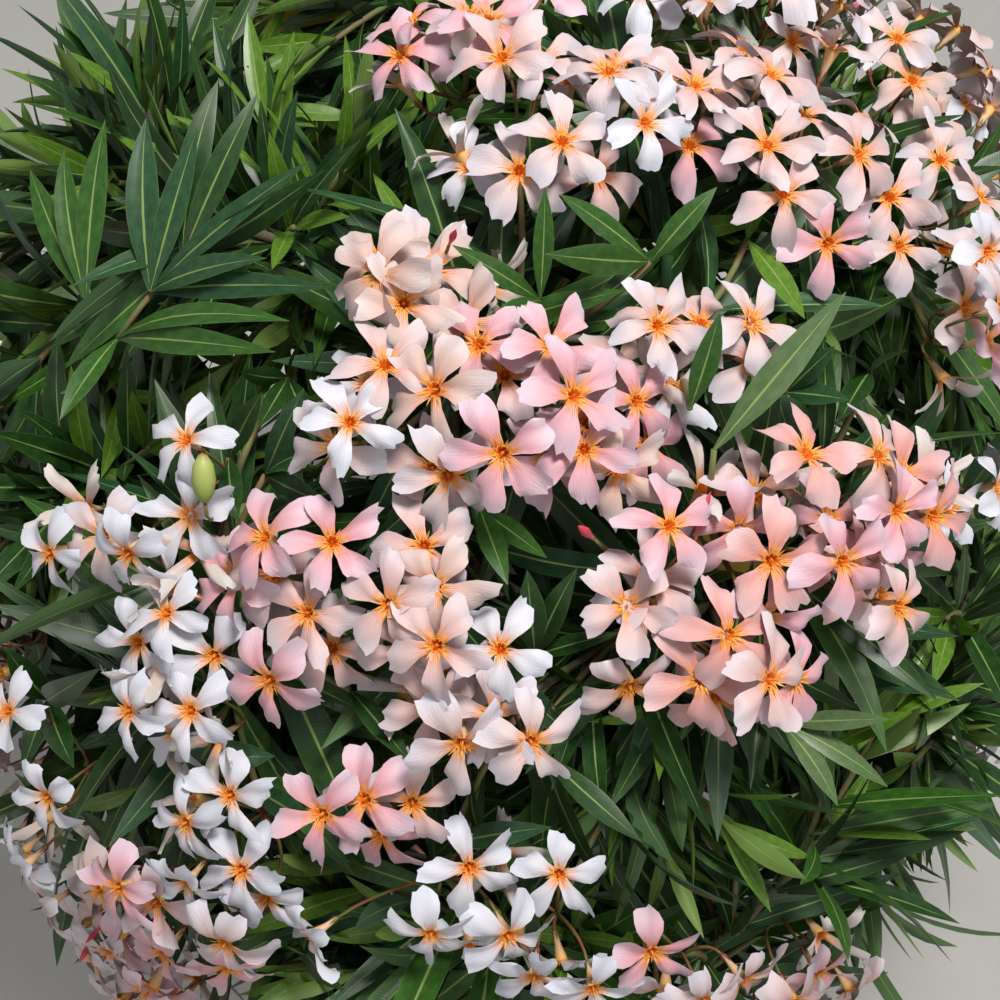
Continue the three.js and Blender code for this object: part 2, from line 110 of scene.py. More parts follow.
def new_piece(name, points, faces, materials, merge=0.0):
    """A smooth mesh of faces with as many corners each as faces has columns. Points closer than merge
    become one, which closes poles and caps."""
    mesh = bpy.data.meshes.new(name)
    points = np.ascontiguousarray(np.reshape(points, (-1, 3)), np.float32)
    faces = np.ascontiguousarray(faces, np.int32)
    mesh.vertices.add(len(points))
    mesh.vertices.foreach_set("co", points.ravel())
    mesh.loops.add(faces.size)
    mesh.loops.foreach_set("vertex_index", faces.ravel())
    mesh.polygons.add(len(faces))
    mesh.polygons.foreach_set("loop_start", np.arange(0, faces.size, faces.shape[1], dtype=np.int32))
    mesh.polygons.foreach_set("use_smooth", np.ones(len(faces), bool))
    mesh.update(calc_edges=True)
    if merge:
        shell = bmesh.new()
        shell.from_mesh(mesh)
        bmesh.ops.remove_doubles(shell, verts=shell.verts, dist=merge)
        shell.to_mesh(mesh)
        shell.free()
    mesh.validate()
    for material in materials:
        mesh.materials.append(material)
    piece = bpy.data.objects.new(name, mesh)
    bpy.context.scene.collection.objects.link(piece)
    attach(piece, "root")
    return piece


def applied(piece):
    """The piece with its modifiers worked into its mesh."""
    graph = bpy.context.evaluated_depsgraph_get()
    mesh = bpy.data.meshes.new_from_object(piece.evaluated_get(graph))
    piece.modifiers.clear()
    piece.data = mesh
    return piece


def add_node(tree, kind, inputs=None, **settings):
    """A shader node or group with its settings, each input set to a number or colour, or linked to a
    socket."""
    node = tree.nodes.new("ShaderNode" + kind)
    for name, setting in settings.items():
        setattr(node, name, setting)
    for key, value in (inputs or {}).items():
        if isinstance(value, bpy.types.NodeSocket):
            tree.links.new(value, node.inputs[key])
        else:
            node.inputs[key].default_value = value
    return node


def blend_colours(tree, share, first, second, mode="MIX"):
    """The colour between two colours at a share from 0 to 1."""
    mix = add_node(tree, "Mix", {0: share, 6: first, 7: second}, data_type="RGBA", blend_type=mode)
    return mix.outputs[2]


def ranged(tree, value, low, high, to_low=0.0, to_high=1.0):
    """A value carried smoothly from the range low..high to the range to_low..to_high."""
    inputs = {0: value, 1: low, 2: high, 3: to_low, 4: to_high}
    return add_node(tree, "MapRange", inputs, interpolation_type="SMOOTHSTEP").outputs[0]


def noise(tree, place, scale, detail, **inputs):
    """The value of a noise with a scale and a number of finer layers."""
    inputs = {"Vector": place, "Scale": scale, "Detail": detail, **inputs}
    return add_node(tree, "TexNoise", inputs).outputs["Fac"]


def arithmetic(tree, operation, first, second=0.0, third=0.0):
    """The result of a sum of one, two or three values, such as first x second + third."""
    return add_node(tree, "Math", {0: first, 1: second, 2: third}, operation=operation).outputs[0]


def new_group(name, **inputs):
    """A shader node group that turns its named inputs into a colour and a height, and its input sockets."""
    group = bpy.data.node_groups.new(name, "ShaderNodeTree")
    for label, kind in inputs.items():
        group.interface.new_socket(label, in_out="INPUT", socket_type="NodeSocket" + kind)
    group.interface.new_socket("Color", in_out="OUTPUT", socket_type="NodeSocketColor")
    group.interface.new_socket("Height", in_out="OUTPUT", socket_type="NodeSocketFloat")
    return group, group.nodes.new("NodeGroupInput").outputs


def end_group(group, colour, height):
    """Links the group's colour and height to its end, and gives the group back."""
    end = group.nodes.new("NodeGroupOutput")
    group.links.new(colour, end.inputs["Color"])
    group.links.new(height, end.inputs["Height"])
    return group


def new_material(name, **sockets):
    """A material with one Principled shader, whose plain values are set on its own sockets."""
    material = bpy.data.materials.new(name)
    material.use_nodes = True
    shader = material.node_tree.nodes["Principled BSDF"]
    for key, value in sockets.items():
        shader.inputs[key.replace("_", " ")].default_value = value
    return material, material.node_tree, shader


def add_bump(tree, shader, height, distance, strength=1.0):
    """Lets a height from 0 to 1 stand out of the surface by a distance."""
    bump = add_node(tree, "Bump", {"Height": height, "Distance": distance, "Strength": strength})
    tree.links.new(bump.outputs["Normal"], shader.inputs["Normal"])


def mottle_group():
    """Two colours mixed by coarse blotches and fine grain, and the grain as a height."""
    group, given = new_group("mottle", Vector="Vector", Blotches="Float", Grain="Float", First="Color",
                             Second="Color")
    blotch = noise(group, given["Vector"], given["Blotches"], 4.0, Roughness=0.6)
    grain = noise(group, given["Vector"], given["Grain"], 3.0, Roughness=0.7)
    share = arithmetic(group, "MULTIPLY_ADD", grain, 0.4, -0.2)
    share = arithmetic(group, "ADD", share, ranged(group, blotch, 0.32, 0.68))
    return end_group(group, blend_colours(group, share, given["First"], given["Second"]), grain)


mottle = mottle_group()


def mottled(tree, place, blotches, grain, first, second):
    """The mottle group in a material, with its two scales and its two colours."""
    inputs = {"Vector": place, "Blotches": blotches, "Grain": grain, "First": first, "Second": second}
    return add_node(tree, "Group", inputs, node_tree=mottle)


def clay_material():
    """Terracotta with darker and paler patches, lime bloom in broad clouds and a sandy grain."""
    material, tree, shader = new_material("terracotta", Roughness=0.88)
    place = add_node(tree, "TexCoord").outputs["Object"]
    base = mottled(tree, place, 9.0, 420.0, TERRACOTTA, PALE_CLAY)
    stretched = add_node(tree, "Mapping", {"Vector": place, "Scale": (1, 1, 2.2)}).outputs["Vector"]
    cloud = noise(tree, stretched, 7.0, 7.0, Roughness=0.72, Distortion=0.5)
    bloom = ranged(tree, cloud, 0.52, 0.78, 0.0, 0.75)
    colour = blend_colours(tree, bloom, base.outputs["Color"], LIME_BLOOM)
    tree.links.new(colour, shader.inputs["Base Color"])
    add_bump(tree, shader, base.outputs["Height"], 0.0006, 0.7)
    return material


band_foot = POT_HEIGHT - RIM_BAND
body_top = FOOT_RADIUS + (RIM_RADIUS - RIM_PROUD - FOOT_RADIUS) * band_foot / POT_HEIGHT
mouth = RIM_RADIUS - LIP
pot_corners = [
    (0, 0), (FOOT_RADIUS, 0), (body_top, band_foot), (body_top + RIM_PROUD, band_foot + 0.004),
    (RIM_RADIUS, POT_HEIGHT - 0.006), (RIM_RADIUS - 0.003, POT_HEIGHT), (mouth, POT_HEIGHT),
    (mouth - 0.002, POT_HEIGHT - 0.02), (body_top - WALL, band_foot),
    (FOOT_RADIUS - WALL + 0.003, FLOOR), (0, FLOOR),
]
pot_radii = [0.004, 0.0015, 0.002, 0.003, 0.003, 0.006, 0.004, 0.006, 0.006]
pot_outline = evenly(rounded_outline(pot_corners, pot_radii), POT_STEP)
pot_points = turned(pot_outline, POT_SIDES)
height = pot_points[..., 2]
angle = np.arctan2(pot_points[..., 1], pot_points[..., 0])
outside = np.arange(len(pot_outline)) < np.argmax(pot_outline[:, 1]) + 1
on_wall = outside[:, None] & (height > 0.012) & (height < band_foot - 0.006)
rings = RING_DEPTH * np.sin(2 * np.pi * height / THROWING_RING + 0.8 * np.sin(angle + 40 * height))
wobble = OUT_OF_ROUND * np.sin(2 * angle + 0.6) * height / POT_HEIGHT
pot_points[..., :2] *= (1 + (rings * on_wall + wobble) / RIM_RADIUS)[..., None]
pot = new_piece("terracotta_pot", pot_points, grid_faces(*pot_points.shape[:2]), [clay_material()],
                merge=WELD)
bore = np.array([(0, DRILL_FOOT), (DRAIN_RADIUS, DRILL_FOOT), (DRAIN_RADIUS, DRILL_TIP), (0, DRILL_TIP)])
for i in range(DRAINS):
    turn = 2 * np.pi * (i + 0.25) / DRAINS
    hole = turned(bore, DRAIN_SIDES) + (DRAIN_CIRCLE * np.cos(turn), DRAIN_CIRCLE * np.sin(turn), 0)
    drill = new_piece(f"drain_drill_{i}", hole, grid_faces(*hole.shape[:2]), pot.data.materials,
                      merge=WELD)
    cut = pot.modifiers.new("drain", "BOOLEAN")
    cut.object = drill
    cut.solver = "EXACT"
    applied(pot)
    bpy.data.objects.remove(drill)
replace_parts(pot, "pot")


# The soil is dark potting compost, filled to a little under the rim, with crumbs on its rough top.
soil_low, soil_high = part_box("soil")
SOIL_TOP = soil_high.z
SOIL_RADIUS = soil_high.x
SOIL_STEP = 0.004
SOIL_SIDES = 144
SOIL_RELIEF = 0.0035
SOIL_SUNK = 0.0015
CLOD_SIZE = 0.06
CRUMB_COUNT = 1000
CRUMB_SIZES = (0.0012, 0.0034)
FINE_WELD = 1e-7
COMPOST = (0.028, 0.017, 0.011, 1)
DRY_COMPOST = (0.085, 0.053, 0.034, 1)
rng = np.random.default_rng(11)


def ripples(points, size, seed, layers=6):
    """An uneven height between about -1 and 1: a sum of sine waves in seeded directions, each twice as
    fine and 0.6 as high as the one before."""
    draw = np.random.default_rng(seed)
    total = 0
    for layer in range(layers):
        for _ in range(3):
            way = draw.normal(size=3)
            way *= 2 * np.pi * 2 ** (layer * 0.8) / (size * np.linalg.norm(way))
            total = total + 0.6 ** layer * np.sin(points @ way + draw.uniform(0, 6))
    return total / 4


def mottled_material(name, blotches, grain, first, second, roughness, relief=0.0):
    """A material of two mottled colours, whose grain stands out by the relief."""
    material, tree, shader = new_material(name, Roughness=roughness)
    place = add_node(tree, "TexCoord").outputs["Object"]
    base = mottled(tree, place, blotches, grain, first, second)
    tree.links.new(base.outputs["Color"], shader.inputs["Base Color"])
    if relief:
        add_bump(tree, shader, base.outputs["Height"], relief)
    return material


compost = mottled_material("compost", 60.0, 700.0, COMPOST, DRY_COMPOST, 1.0, 0.001)
inner_foot = FOOT_RADIUS - WALL + 0.002
soil_outline = evenly(np.array([(0, soil_low.z), (inner_foot, soil_low.z), (SOIL_RADIUS, SOIL_TOP - 0.002),
                                (SOIL_RADIUS - 0.002, SOIL_TOP), (0, SOIL_TOP)]), SOIL_STEP)
soil_points = turned(soil_outline, SOIL_SIDES)
on_top = np.clip((soil_points[..., 2] - SOIL_TOP + 0.004) / 0.004, 0, 1)
near_wall = np.clip((SOIL_RADIUS - np.hypot(soil_points[..., 0], soil_points[..., 1])) / 0.02, 0, 1)
soil_points[..., 2] += on_top * (SOIL_RELIEF * ripples(soil_points, CLOD_SIZE, 3) * near_wall - SOIL_SUNK)
soil = new_piece("potting_soil", soil_points, grid_faces(*soil_points.shape[:2]), [compost],
                 merge=WELD)
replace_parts(soil, "soil")


def ball(rows, around):
    """A unit ball: (sin t, cos t) turned about +Z for each tilt t, from the top down."""
    tilt = np.linspace(0, np.pi, rows)
    return turned(np.stack([np.sin(tilt), np.cos(tilt)], axis=-1), around)


def lumps(centres, sizes, rng, rows=5, around=6):
    """Closed lumps: balls with each point's distance from the middle jittered, stretched by their own
    three sizes and turned at random."""
    count = len(centres)
    rough = rng.uniform(0.75, 1.2, (count, rows, around, 1))
    rough[:, [0, -1]] = 1
    local = ball(rows, around) * rough * sizes[:, None, None, :]
    basis, _ = np.linalg.qr(rng.normal(size=(count, 3, 3)))
    return np.einsum("nij,nruj->nrui", basis, local) + centres[:, None, None, :]


def repeated(faces, count, stride):
    """The same faces for each of many like meshes whose points follow one another."""
    return (faces[None] + stride * np.arange(count)[:, None, None]).reshape(-1, faces.shape[1])


def like_grids(points):
    """The faces of many like grids of points, each closed into a ring."""
    count, rows, columns = points.shape[:3]
    return repeated(grid_faces(rows, columns), count, rows * columns)


spot_radius = (SOIL_RADIUS - 0.006) * np.sqrt(rng.uniform(0, 1, CRUMB_COUNT))
spot_turn = rng.uniform(0, 2 * np.pi, CRUMB_COUNT)
crumb_size = rng.uniform(*CRUMB_SIZES, (CRUMB_COUNT, 1)) * rng.uniform(0.5, 1.3, (CRUMB_COUNT, 3))
crumb_places = np.stack([spot_radius * np.cos(spot_turn), spot_radius * np.sin(spot_turn),
                         SOIL_TOP - 0.0012 + 0.3 * crumb_size[:, 0]], axis=-1)
crumb_points = lumps(crumb_places, crumb_size, rng)
new_piece("soil_crumbs", crumb_points, like_grids(crumb_points), [compost], merge=FINE_WELD)


# The trunk and boughs are one piece of wood under smooth grey-brown bark with corky pores. The short
# trunk flares at the soil and forks into one middle bough and five outer ones, which bend up.
TRUNK_FOOT = np.array([-0.004, 0.003, SOIL_TOP + 0.0003])
TRUNK_LEAN = np.array([0.009, -0.005, 0.088])
TRUNK_RADII = (0.027, 0.019)
FLARE = 0.011
FLARE_REACH = 0.020
STUB = 0.042
STUB_RADIUS = 0.0125
BOUGH_RADII = (0.0095, 0.006)
CROWN_MIDDLE = np.array([0, 0, 0.590])
CROWN_RADII = np.array([0.390, 0.390, 0.380])
CROWN_LOWEST = 108
LOBE_DEPTH = 0.05
OUTER_BOUGHS = 5
BOUGHS = 1 + OUTER_BOUGHS
OUTER_BEARING = -126
OUTER_REACH = 0.48
OUTER_LEVEL = 0.505
OUTER_TILT = 46
MIDDLE_BEARING = 60
MIDDLE_REACH = 0.06
MIDDLE_LEVEL = 0.655
MIDDLE_TILT = 4
BARK_LUMPS = 0.0007
BARK_CREASES = 0.0003
BARK_GREY = (0.20, 0.165, 0.13, 1)
BARK_BROWN = (0.095, 0.066, 0.045, 1)
PORES = (0.34, 0.28, 0.21, 1)
SKIN_STEP = 0.0021
UP = np.array([0.0, 0.0, 1.0])


def chance(a, b=0):
    """The same number between 0 and 1 for the same a and b: the part after the point of a tall sine."""
    tall = np.sin(a * 12.9898 + b * 78.233) * 43758.5453
    return tall - np.floor(tall)


def unit(vectors):
    """Each vector divided by its length."""
    return vectors / np.linalg.norm(vectors, axis=-1, keepdims=True)


def towards(bearing, tilt):
    """Unit vectors at a bearing from +X and a tilt from +Z, in degrees."""
    turn, lean = np.broadcast_arrays(np.radians(bearing), np.radians(tilt))
    return np.stack([np.sin(lean) * np.cos(turn), np.sin(lean) * np.sin(turn), np.cos(lean)], axis=-1)


def crown_point(direction, share=1.0):
    """Points on the crown's outline: a dome whose radius swells and shrinks three times round it."""
    x, y = direction[..., 0], direction[..., 1]
    lobe = 1 + LOBE_DEPTH * np.sin(3 * np.arctan2(y, x)) * (x * x + y * y)
    return CROWN_MIDDLE + direction * CROWN_RADII * share * lobe[..., None]


def reach(start, direction, end, share):
    """Control points of curves that leave each start in a direction and bend to each end."""
    bend = start + direction * np.linalg.norm(end - start, axis=-1, keepdims=True) * share
    return np.stack([start, bend, end], axis=-2)


def on_curve(controls, t):
    """The points (1-t)^2 A + 2t(1-t) B + t^2 C of each curve."""
    t = t[..., None]
    a, b, c = controls[..., 0, :], controls[..., 1, :], controls[..., 2, :]
    return (1 - t) ** 2 * a + 2 * t * (1 - t) * b + t ** 2 * c


def heading(controls, t):
    """The unit tangents (1-t)(B-A) + t(C-B) of each curve."""
    t = t[..., None]
    a, b, c = controls[..., 0, :], controls[..., 1, :], controls[..., 2, :]
    return unit((1 - t) * (b - a) + t * (c - b))


def limbs(controls, radii, steps, around, swell=None):
    """Closed round limbs along curves: rings of radius mix(start, end, t) at the ends of a side vector
    that is square to each curve's own plane. The first and last ring shrink to the axis."""
    t = np.linspace(0, 1, steps)
    curves = controls[:, None]
    middle, along = on_curve(curves, t[None]), heading(curves, t[None])
    across = np.cross(controls[:, 1] - controls[:, 0], controls[:, 2] - controls[:, 1])
    straight = np.linalg.norm(across, axis=-1) < 1e-7
    across[straight] = np.cross(controls[straight, 2] - controls[straight, 0], (0.3, 0.8, 0.1))
    side = np.broadcast_to(unit(across)[:, None], along.shape)
    other = np.cross(along, side)
    angle = np.linspace(0, 2 * np.pi, around, endpoint=False)
    radius = (radii[:, :1] * (1 - t) + radii[:, 1:] * t)[..., None]
    if swell:
        radius = radius + swell(t, angle)
    rim = np.cos(angle)[:, None] * side[:, :, None] + np.sin(angle)[:, None] * other[:, :, None]
    rings = middle[:, :, None] + radius[..., None] * rim
    ends = np.broadcast_to(middle[:, [0, -1], None], (len(controls), 2, around, 3))
    return np.concatenate([ends[:, :1], rings, ends[:, 1:]], axis=1)


def flare(t, angle):
    """The swelling of the trunk's foot in five lobes, which fades up the trunk."""
    return FLARE * np.exp(-t * TRUNK_LEAN[2] / FLARE_REACH)[:, None] * (1 + 0.35 * np.sin(5 * angle))


def bark_material():
    """Grey-brown bark in blotches drawn out along +Z, with pale pores and a fine rough grain."""
    material, tree, shader = new_material("bark", Roughness=0.86)
    place = add_node(tree, "TexCoord").outputs["Object"]
    drawn = add_node(tree, "Mapping", {"Vector": place, "Scale": (1, 1, 0.35)}).outputs["Vector"]
    base = mottled(tree, drawn, 45.0, 600.0, BARK_BROWN, BARK_GREY)
    spots = add_node(tree, "TexVoronoi", {"Vector": place, "Scale": 150.0})
    pore = ranged(tree, spots.outputs["Distance"], 0.16, 0.26, 0.8, 0.0)
    colour = blend_colours(tree, pore, base.outputs["Color"], PORES)
    tree.links.new(colour, shader.inputs["Base Color"])
    add_bump(tree, shader, arithmetic(tree, "ADD", base.outputs["Height"], pore), 0.0005)
    return material


fork = TRUNK_FOOT + TRUNK_LEAN
outer_bearings = [OUTER_BEARING + 360 / OUTER_BOUGHS * i for i in range(OUTER_BOUGHS)]
bough_bearings = np.array([MIDDLE_BEARING] + outer_bearings)
order = np.arange(BOUGHS)
outer = order > 0
bough_reaches = np.where(outer, OUTER_REACH, MIDDLE_REACH)[:, None]
bough_tips = towards(bough_bearings, 90) * CROWN_RADII[0] * bough_reaches
bough_tips[:, 2] = np.where(outer, OUTER_LEVEL, MIDDLE_LEVEL) + 0.024 * (chance(order, 1) - 0.5)
bough_ways = towards(bough_bearings + 8 * (chance(order, 2) - 0.5),
                     np.where(outer, OUTER_TILT, MIDDLE_TILT) + 5 * (chance(order, 3) - 0.5))
stub_ends = fork + bough_ways * STUB
bough_curves = reach(stub_ends, bough_ways, bough_tips, 0.5)
stub_curves = reach(np.broadcast_to(fork, stub_ends.shape), bough_ways, stub_ends, 0.5)
trunk_curve = reach(TRUNK_FOOT[None], UP, fork[None], 0.5)


# The trunk, the stubs of its fork, the boughs and a ball at each joint, which a remesh makes one skin
joints = np.stack([fork, *stub_ends])
joint_sizes = np.array([TRUNK_RADII[1]] + [BOUGH_RADII[0]] * BOUGHS)
wood_parts = [
    limbs(trunk_curve, np.array([TRUNK_RADII]), 40, 48, flare),
    limbs(stub_curves, np.tile((STUB_RADIUS, BOUGH_RADII[0]), (BOUGHS, 1)), 10, 24),
    limbs(bough_curves, np.tile(BOUGH_RADII, (BOUGHS, 1)), 30, 20),
    joints[:, None, None] + joint_sizes[:, None, None, None] * ball(12, 20)[::-1],
]
wood_points = np.concatenate([part.reshape(-1, 3) for part in wood_parts])
firsts = np.cumsum([0] + [part.size // 3 for part in wood_parts])
wood_faces = np.concatenate([first + like_grids(part) for first, part in zip(firsts, wood_parts)])
bark = new_piece("bark_of_trunk_and_boughs", wood_points, wood_faces, [bark_material()], merge=WELD)
skin = bark.modifiers.new("skin", "REMESH")
skin.mode = "VOXEL"
skin.voxel_size = SKIN_STEP
skin.use_smooth_shade = True
applied(bark)
bark_mesh = bark.data
bark_points = np.empty(len(bark_mesh.vertices) * 3, np.float32)
bark_normals = bark_points.copy()
bark_mesh.vertices.foreach_get("co", bark_points)
bark_mesh.vertices.foreach_get("normal", bark_normals)
bark_points = bark_points.reshape(-1, 3)
drawn_out = bark_points * (1, 1, 0.3)
relief = BARK_LUMPS * ripples(drawn_out, 0.016, 5, 3) + BARK_CREASES * np.abs(ripples(drawn_out, 0.006, 9, 2))
relief *= np.clip((bark_points[:, 2] - SOIL_TOP - 0.001) / 0.01, 0, 1)
bark_points += relief[:, None] * bark_normals.reshape(-1, 3)
bark_mesh.vertices.foreach_set("co", bark_points.ravel())
bark_mesh.update()
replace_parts(bark, "trunk", "bough_middle", *[f"bough_outer_{i + 1}" for i in range(OUTER_BOUGHS)])


# The shoots are thin flexible stems. Three leave each bough's tip, grey-brown at first, each branches
# to the shoot tips round the crown's outline, and finer green side shoots fill the room between them.
HUB_DEPTH = 0.66
TOP_TILT = 17
UPPER_TILT = 47
LOWER_TILT = 86
LOWER_SPREAD = 18
STEM_BEND = 0.55
TWIG_BEND = 0.4
BENDING_COST = 0.0006
LEAST_SIDE_SHOOT = 0.07
GOLDEN_ANGLE = 137.508
TIP_PLACES = 64
TIP_SPACING = 0.092
TIP_ROOM = 0.06
TIP_DEPTH = 0.034
TIP_UNEVEN = 0.024
SIDE_PLACES = 460
SIDE_START = 20.0
SIDE_SPACING = 0.047
SIDE_ROOM = 0.043
HEAD_ROOM = 0.078
SUNK_BESIDE_HEADS = 0.032
VIEW_MIDDLE = (-90, 36)
VIEW_SPREAD = 47
INNER_PLACES = 250
INNER_START = 65.0
INNER_SPREAD = 58
INNER_SHARE = 0.72
FLOWERING_TILT = 78
FLOWERING_SHARE = 0.6
FLOWERING_SHARE_BELOW = 0.25
SIDE_FLOWERING = 0.22
LEAFY_SECTORS = [(140, 45, 34), (-52, 74, 22)]
STEM_RADII = (0.0052, 0.0030)
TWIG_RADII = (0.0031, 0.0020)
SIDE_RADII = (0.0024, 0.0016)
STEM_GREY = (0.17, 0.16, 0.10, 1)
STEM_BROWN = (0.10, 0.085, 0.05, 1)
SHOOT_GREEN = (0.13, 0.20, 0.055, 1)
SHOOT_RED = (0.22, 0.12, 0.065, 1)

# The photograph is taken from the front and above: what it looks at, how far off and how wide it sees
VIEW_TARGET = np.array([0, -0.195, 0.919])
VIEW_DISTANCE = 0.750
VIEW_ELEVATION = 60
VIEW_WIDTH = 0.460
PHOTO_WIDTH = 1000
VIEW_TILT = np.radians(VIEW_ELEVATION)
VIEW_BACK = np.array([0, -np.cos(VIEW_TILT), np.sin(VIEW_TILT)])
VIEW_UP = np.array([0, np.sin(VIEW_TILT), np.cos(VIEW_TILT)])

# The flower heads that the photograph shows: the tint, and the column and row of each open flower's
# middle. The main heads, of which the bearing and tilt come first, end a shoot of the first order, and
# the side heads a side shoot.
MAIN_HEADS = [
    (-107.5, 16.5, "peach", [(416, 249), (431, 265), (386, 292), (409, 316), (464, 312), (378, 262)]),
    (-107.7, 25.2, "pale", [(366, 381), (362, 430), (393, 372), (428, 466), (338, 448), (452, 478)]),
    (-90.0, 23.5, "pink", [(505, 372), (436, 398), (550, 350), (573, 402), (502, 461), (548, 452),
                           (478, 345)]),
    (-50.0, 22.6, "pale", [(677, 306), (652, 331), (743, 329), (706, 318), (680, 384), (750, 362)]),
    (-129.9, 34.6, "white", [(188, 440), (183, 516), (143, 554)]),
    (-113.8, 36.1, "pink", [(272, 535), (336, 541), (270, 576), (229, 580)]),
    (-97.6, 36.1, "peach", [(437, 584), (407, 649), (425, 545), (392, 600)]),
    (-61.0, 37.8, "salmon", [(755, 557), (816, 556), (740, 530), (765, 495), (796, 452), (760, 615)]),
    (-47.0, 38.8, "salmon", [(865, 456), (877, 510), (843, 520), (862, 546), (910, 474), (922, 516),
                             (893, 550)]),
    (-121.7, 52.7, "white", [(156, 748), (145, 700), (194, 708)]),
    (-88.6, 45.9, "pale", [(500, 649), (530, 728), (462, 735), (494, 712)]),
    (-68.9, 42.9, "salmon", [(716, 626), (753, 667), (720, 702), (785, 672), (695, 675)]),
]
SIDE_HEADS = [
    ("pink", [(622, 362), (638, 401), (616, 470), (580, 452), (592, 420), (655, 440)]),
    ("blush", [(323, 655), (308, 612), (286, 650), (275, 676)]),
    ("peach", [(455, 675), (440, 635), (432, 712)]),
    ("pink", [(366, 795), (328, 801), (411, 807), (376, 850)]),
    ("salmon", [(864, 598), (906, 601), (848, 572)]),
    ("blush", [(626, 605), (657, 615), (663, 522), (633, 690), (655, 582)]),
    ("white", [(89, 538), (60, 552)]),
    ("white", [(168, 612), (132, 645), (205, 660)]),
    ("white", [(51, 795), (36, 858), (8, 862), (6, 712)]),
    ("pink", [(162, 894), (115, 941), (99, 890), (134, 868), (158, 981), (229, 968), (170, 945)]),
    ("white", [(198, 868), (245, 864), (243, 918), (267, 897), (231, 793), (195, 811)]),
    ("white", [(435, 908), (469, 874), (510, 916), (467, 951), (312, 932)]),
    ("white", [(560, 882), (589, 961), (532, 958), (566, 992)]),
    ("blush", [(655, 960), (700, 988), (745, 982), (672, 1006)]),
    ("pink", [(820, 975), (852, 992), (783, 985)]),
    ("pale", [(468, 150), (500, 92), (520, 166), (562, 150), (540, 62)]),
    ("pale", [(575, 62), (602, 92), (625, 50), (652, 96), (604, 150), (642, 134), (676, 56)]),
    ("blush", [(692, 92), (722, 66), (706, 116), (748, 42), (762, 92)]),
    ("blush", [(852, 163), (870, 105), (806, 112), (840, 232), (762, 152), (786, 192), (822, 62)]),
    ("peach", [(905, 88), (940, 106), (912, 30), (962, 24), (985, 62), (880, 56)]),
    ("pale", [(940, 160), (922, 232), (955, 272), (986, 256), (985, 112), (900, 190), (968, 205)]),
    ("white", [(960, 508), (996, 488)]),
    ("pink", [(410, 15), (398, 42), (470, 18), (492, 60), (542, 8), (434, 26)]),
    ("pale", [(752, 20), (792, 44), (830, 22), (700, 8)]),
    ("blush", [(962, 322), (990, 340), (985, 300)]),
]

# The leaves that the photograph shows over and between the heads: the column and row of the shoot's
# tip, how far above the crown the leaves end, their tone, and the column and row of each leaf's tip
# The two whorls with the pale tone, the standing leaf first, are partly painted highlight: their lighter
# green stands in for the light and sheen that these leaves catch.
SEEN_WHORLS = [
    ((714, 450), 0.048, "pale", [(846, 292)]),
    ((690, 408), 0.064, "green", [(720, 312)]),
    ((540, 300), 0.016, "green", [(452, 245), (545, 187), (486, 330)]),
    ((650, 262), 0.018, "green", [(559, 194), (545, 254), (717, 187)]),
    ((747, 240), 0.014, "young", [(805, 319), (772, 178)]),
    ((786, 392), 0.012, "blue", [(850, 400), (835, 346)]),
    ((870, 372), 0.004, "deep", [(820, 352), (838, 424), (908, 350)]),
    ((545, 755), 0.016, "deep", [(642, 842), (560, 690)]),
    ((451, 843), 0.014, "blue", [(552, 827)]),
    ((350, 690), 0.012, "deep", [(411, 764)]),
    ((480, 508), 0.012, "green", [(547, 558), (508, 585)]),
    ((535, 655), 0.012, "deep", [(577, 568), (619, 633), (527, 570)]),
    ((553, 710), 0.014, "deep", [(626, 680)]),
    ((203, 760), 0.012, "blue", [(275, 756), (250, 803)]),
    ((258, 788), 0.014, "blue", [(316, 822)]),
    ((229, 458), 0.010, "deep", [(262, 392), (238, 522)]),
    ((265, 475), 0.010, "blue", [(304, 388), (322, 451), (335, 508)]),
    ((198, 950), 0.014, "green", [(217, 903)]),
    ((781, 722), 0.016, "pale", [(890, 719), (888, 787), (838, 806)]),
    ((150, 292), 0.012, "blue", [(267, 258), (332, 287), (310, 161), (198, 126), (146, 118)]),
    ((118, 338), 0.010, "green", [(290, 321), (276, 352), (60, 420)]),
    ((182, 258), 0.010, "deep", [(324, 170), (218, 80), (258, 92)]),
    ((86, 300), 0.010, "green", [(30, 170), (64, 150), (105, 120)]),
    ((48, 700), 0.002, "deep", [(6, 648), (100, 668), (74, 768), (22, 772)]),
    ((288, 378), -0.024, "deep", [(258, 428), (316, 442), (304, 336), (240, 372)]),
    ((40, 690), -0.030, "blue", [(10, 740), (66, 742), (30, 646)]),
]
SEEN_LEAF_RISE = 0.034
SEEN_CLEAR = 0.010
SEEN_BUDS = [(449, 245), (594, 539), (697, 524), (695, 541), (734, 602), (728, 679)]
SEEN_POD = (205, 503)
OTHER_TINTS = ["blush", "peach", "pale", "pink", "white", "salmon", "blush", "pale"]


def spiral(places, start=0.0):
    """Directions spread evenly over the crown, a golden angle and an equal drop in height apart."""
    index = np.arange(places)
    level = 1 + (np.cos(np.radians(CROWN_LOWEST)) - 1) * (index + 0.5) / places
    return towards(GOLDEN_ANGLE * index + start, np.degrees(np.arccos(level)))


def angle_between(first, second):
    """The degrees between unit vectors: the arc cosine of their product."""
    return np.degrees(np.arccos(np.clip(np.sum(first * second, axis=-1), -1, 1)))


def within(direction, bearing, tilt, spread):
    """True if a direction lies less than a spread, in degrees, from a bearing and tilt."""
    return angle_between(direction, towards(bearing, tilt)) < spread


def stays_bare(direction):
    """True where the photograph shows leaves and no flowers, and where it shows every head there is."""
    return within(direction, *VIEW_MIDDLE, VIEW_SPREAD) or any(within(direction, *s) for s in LEAFY_SECTORS)


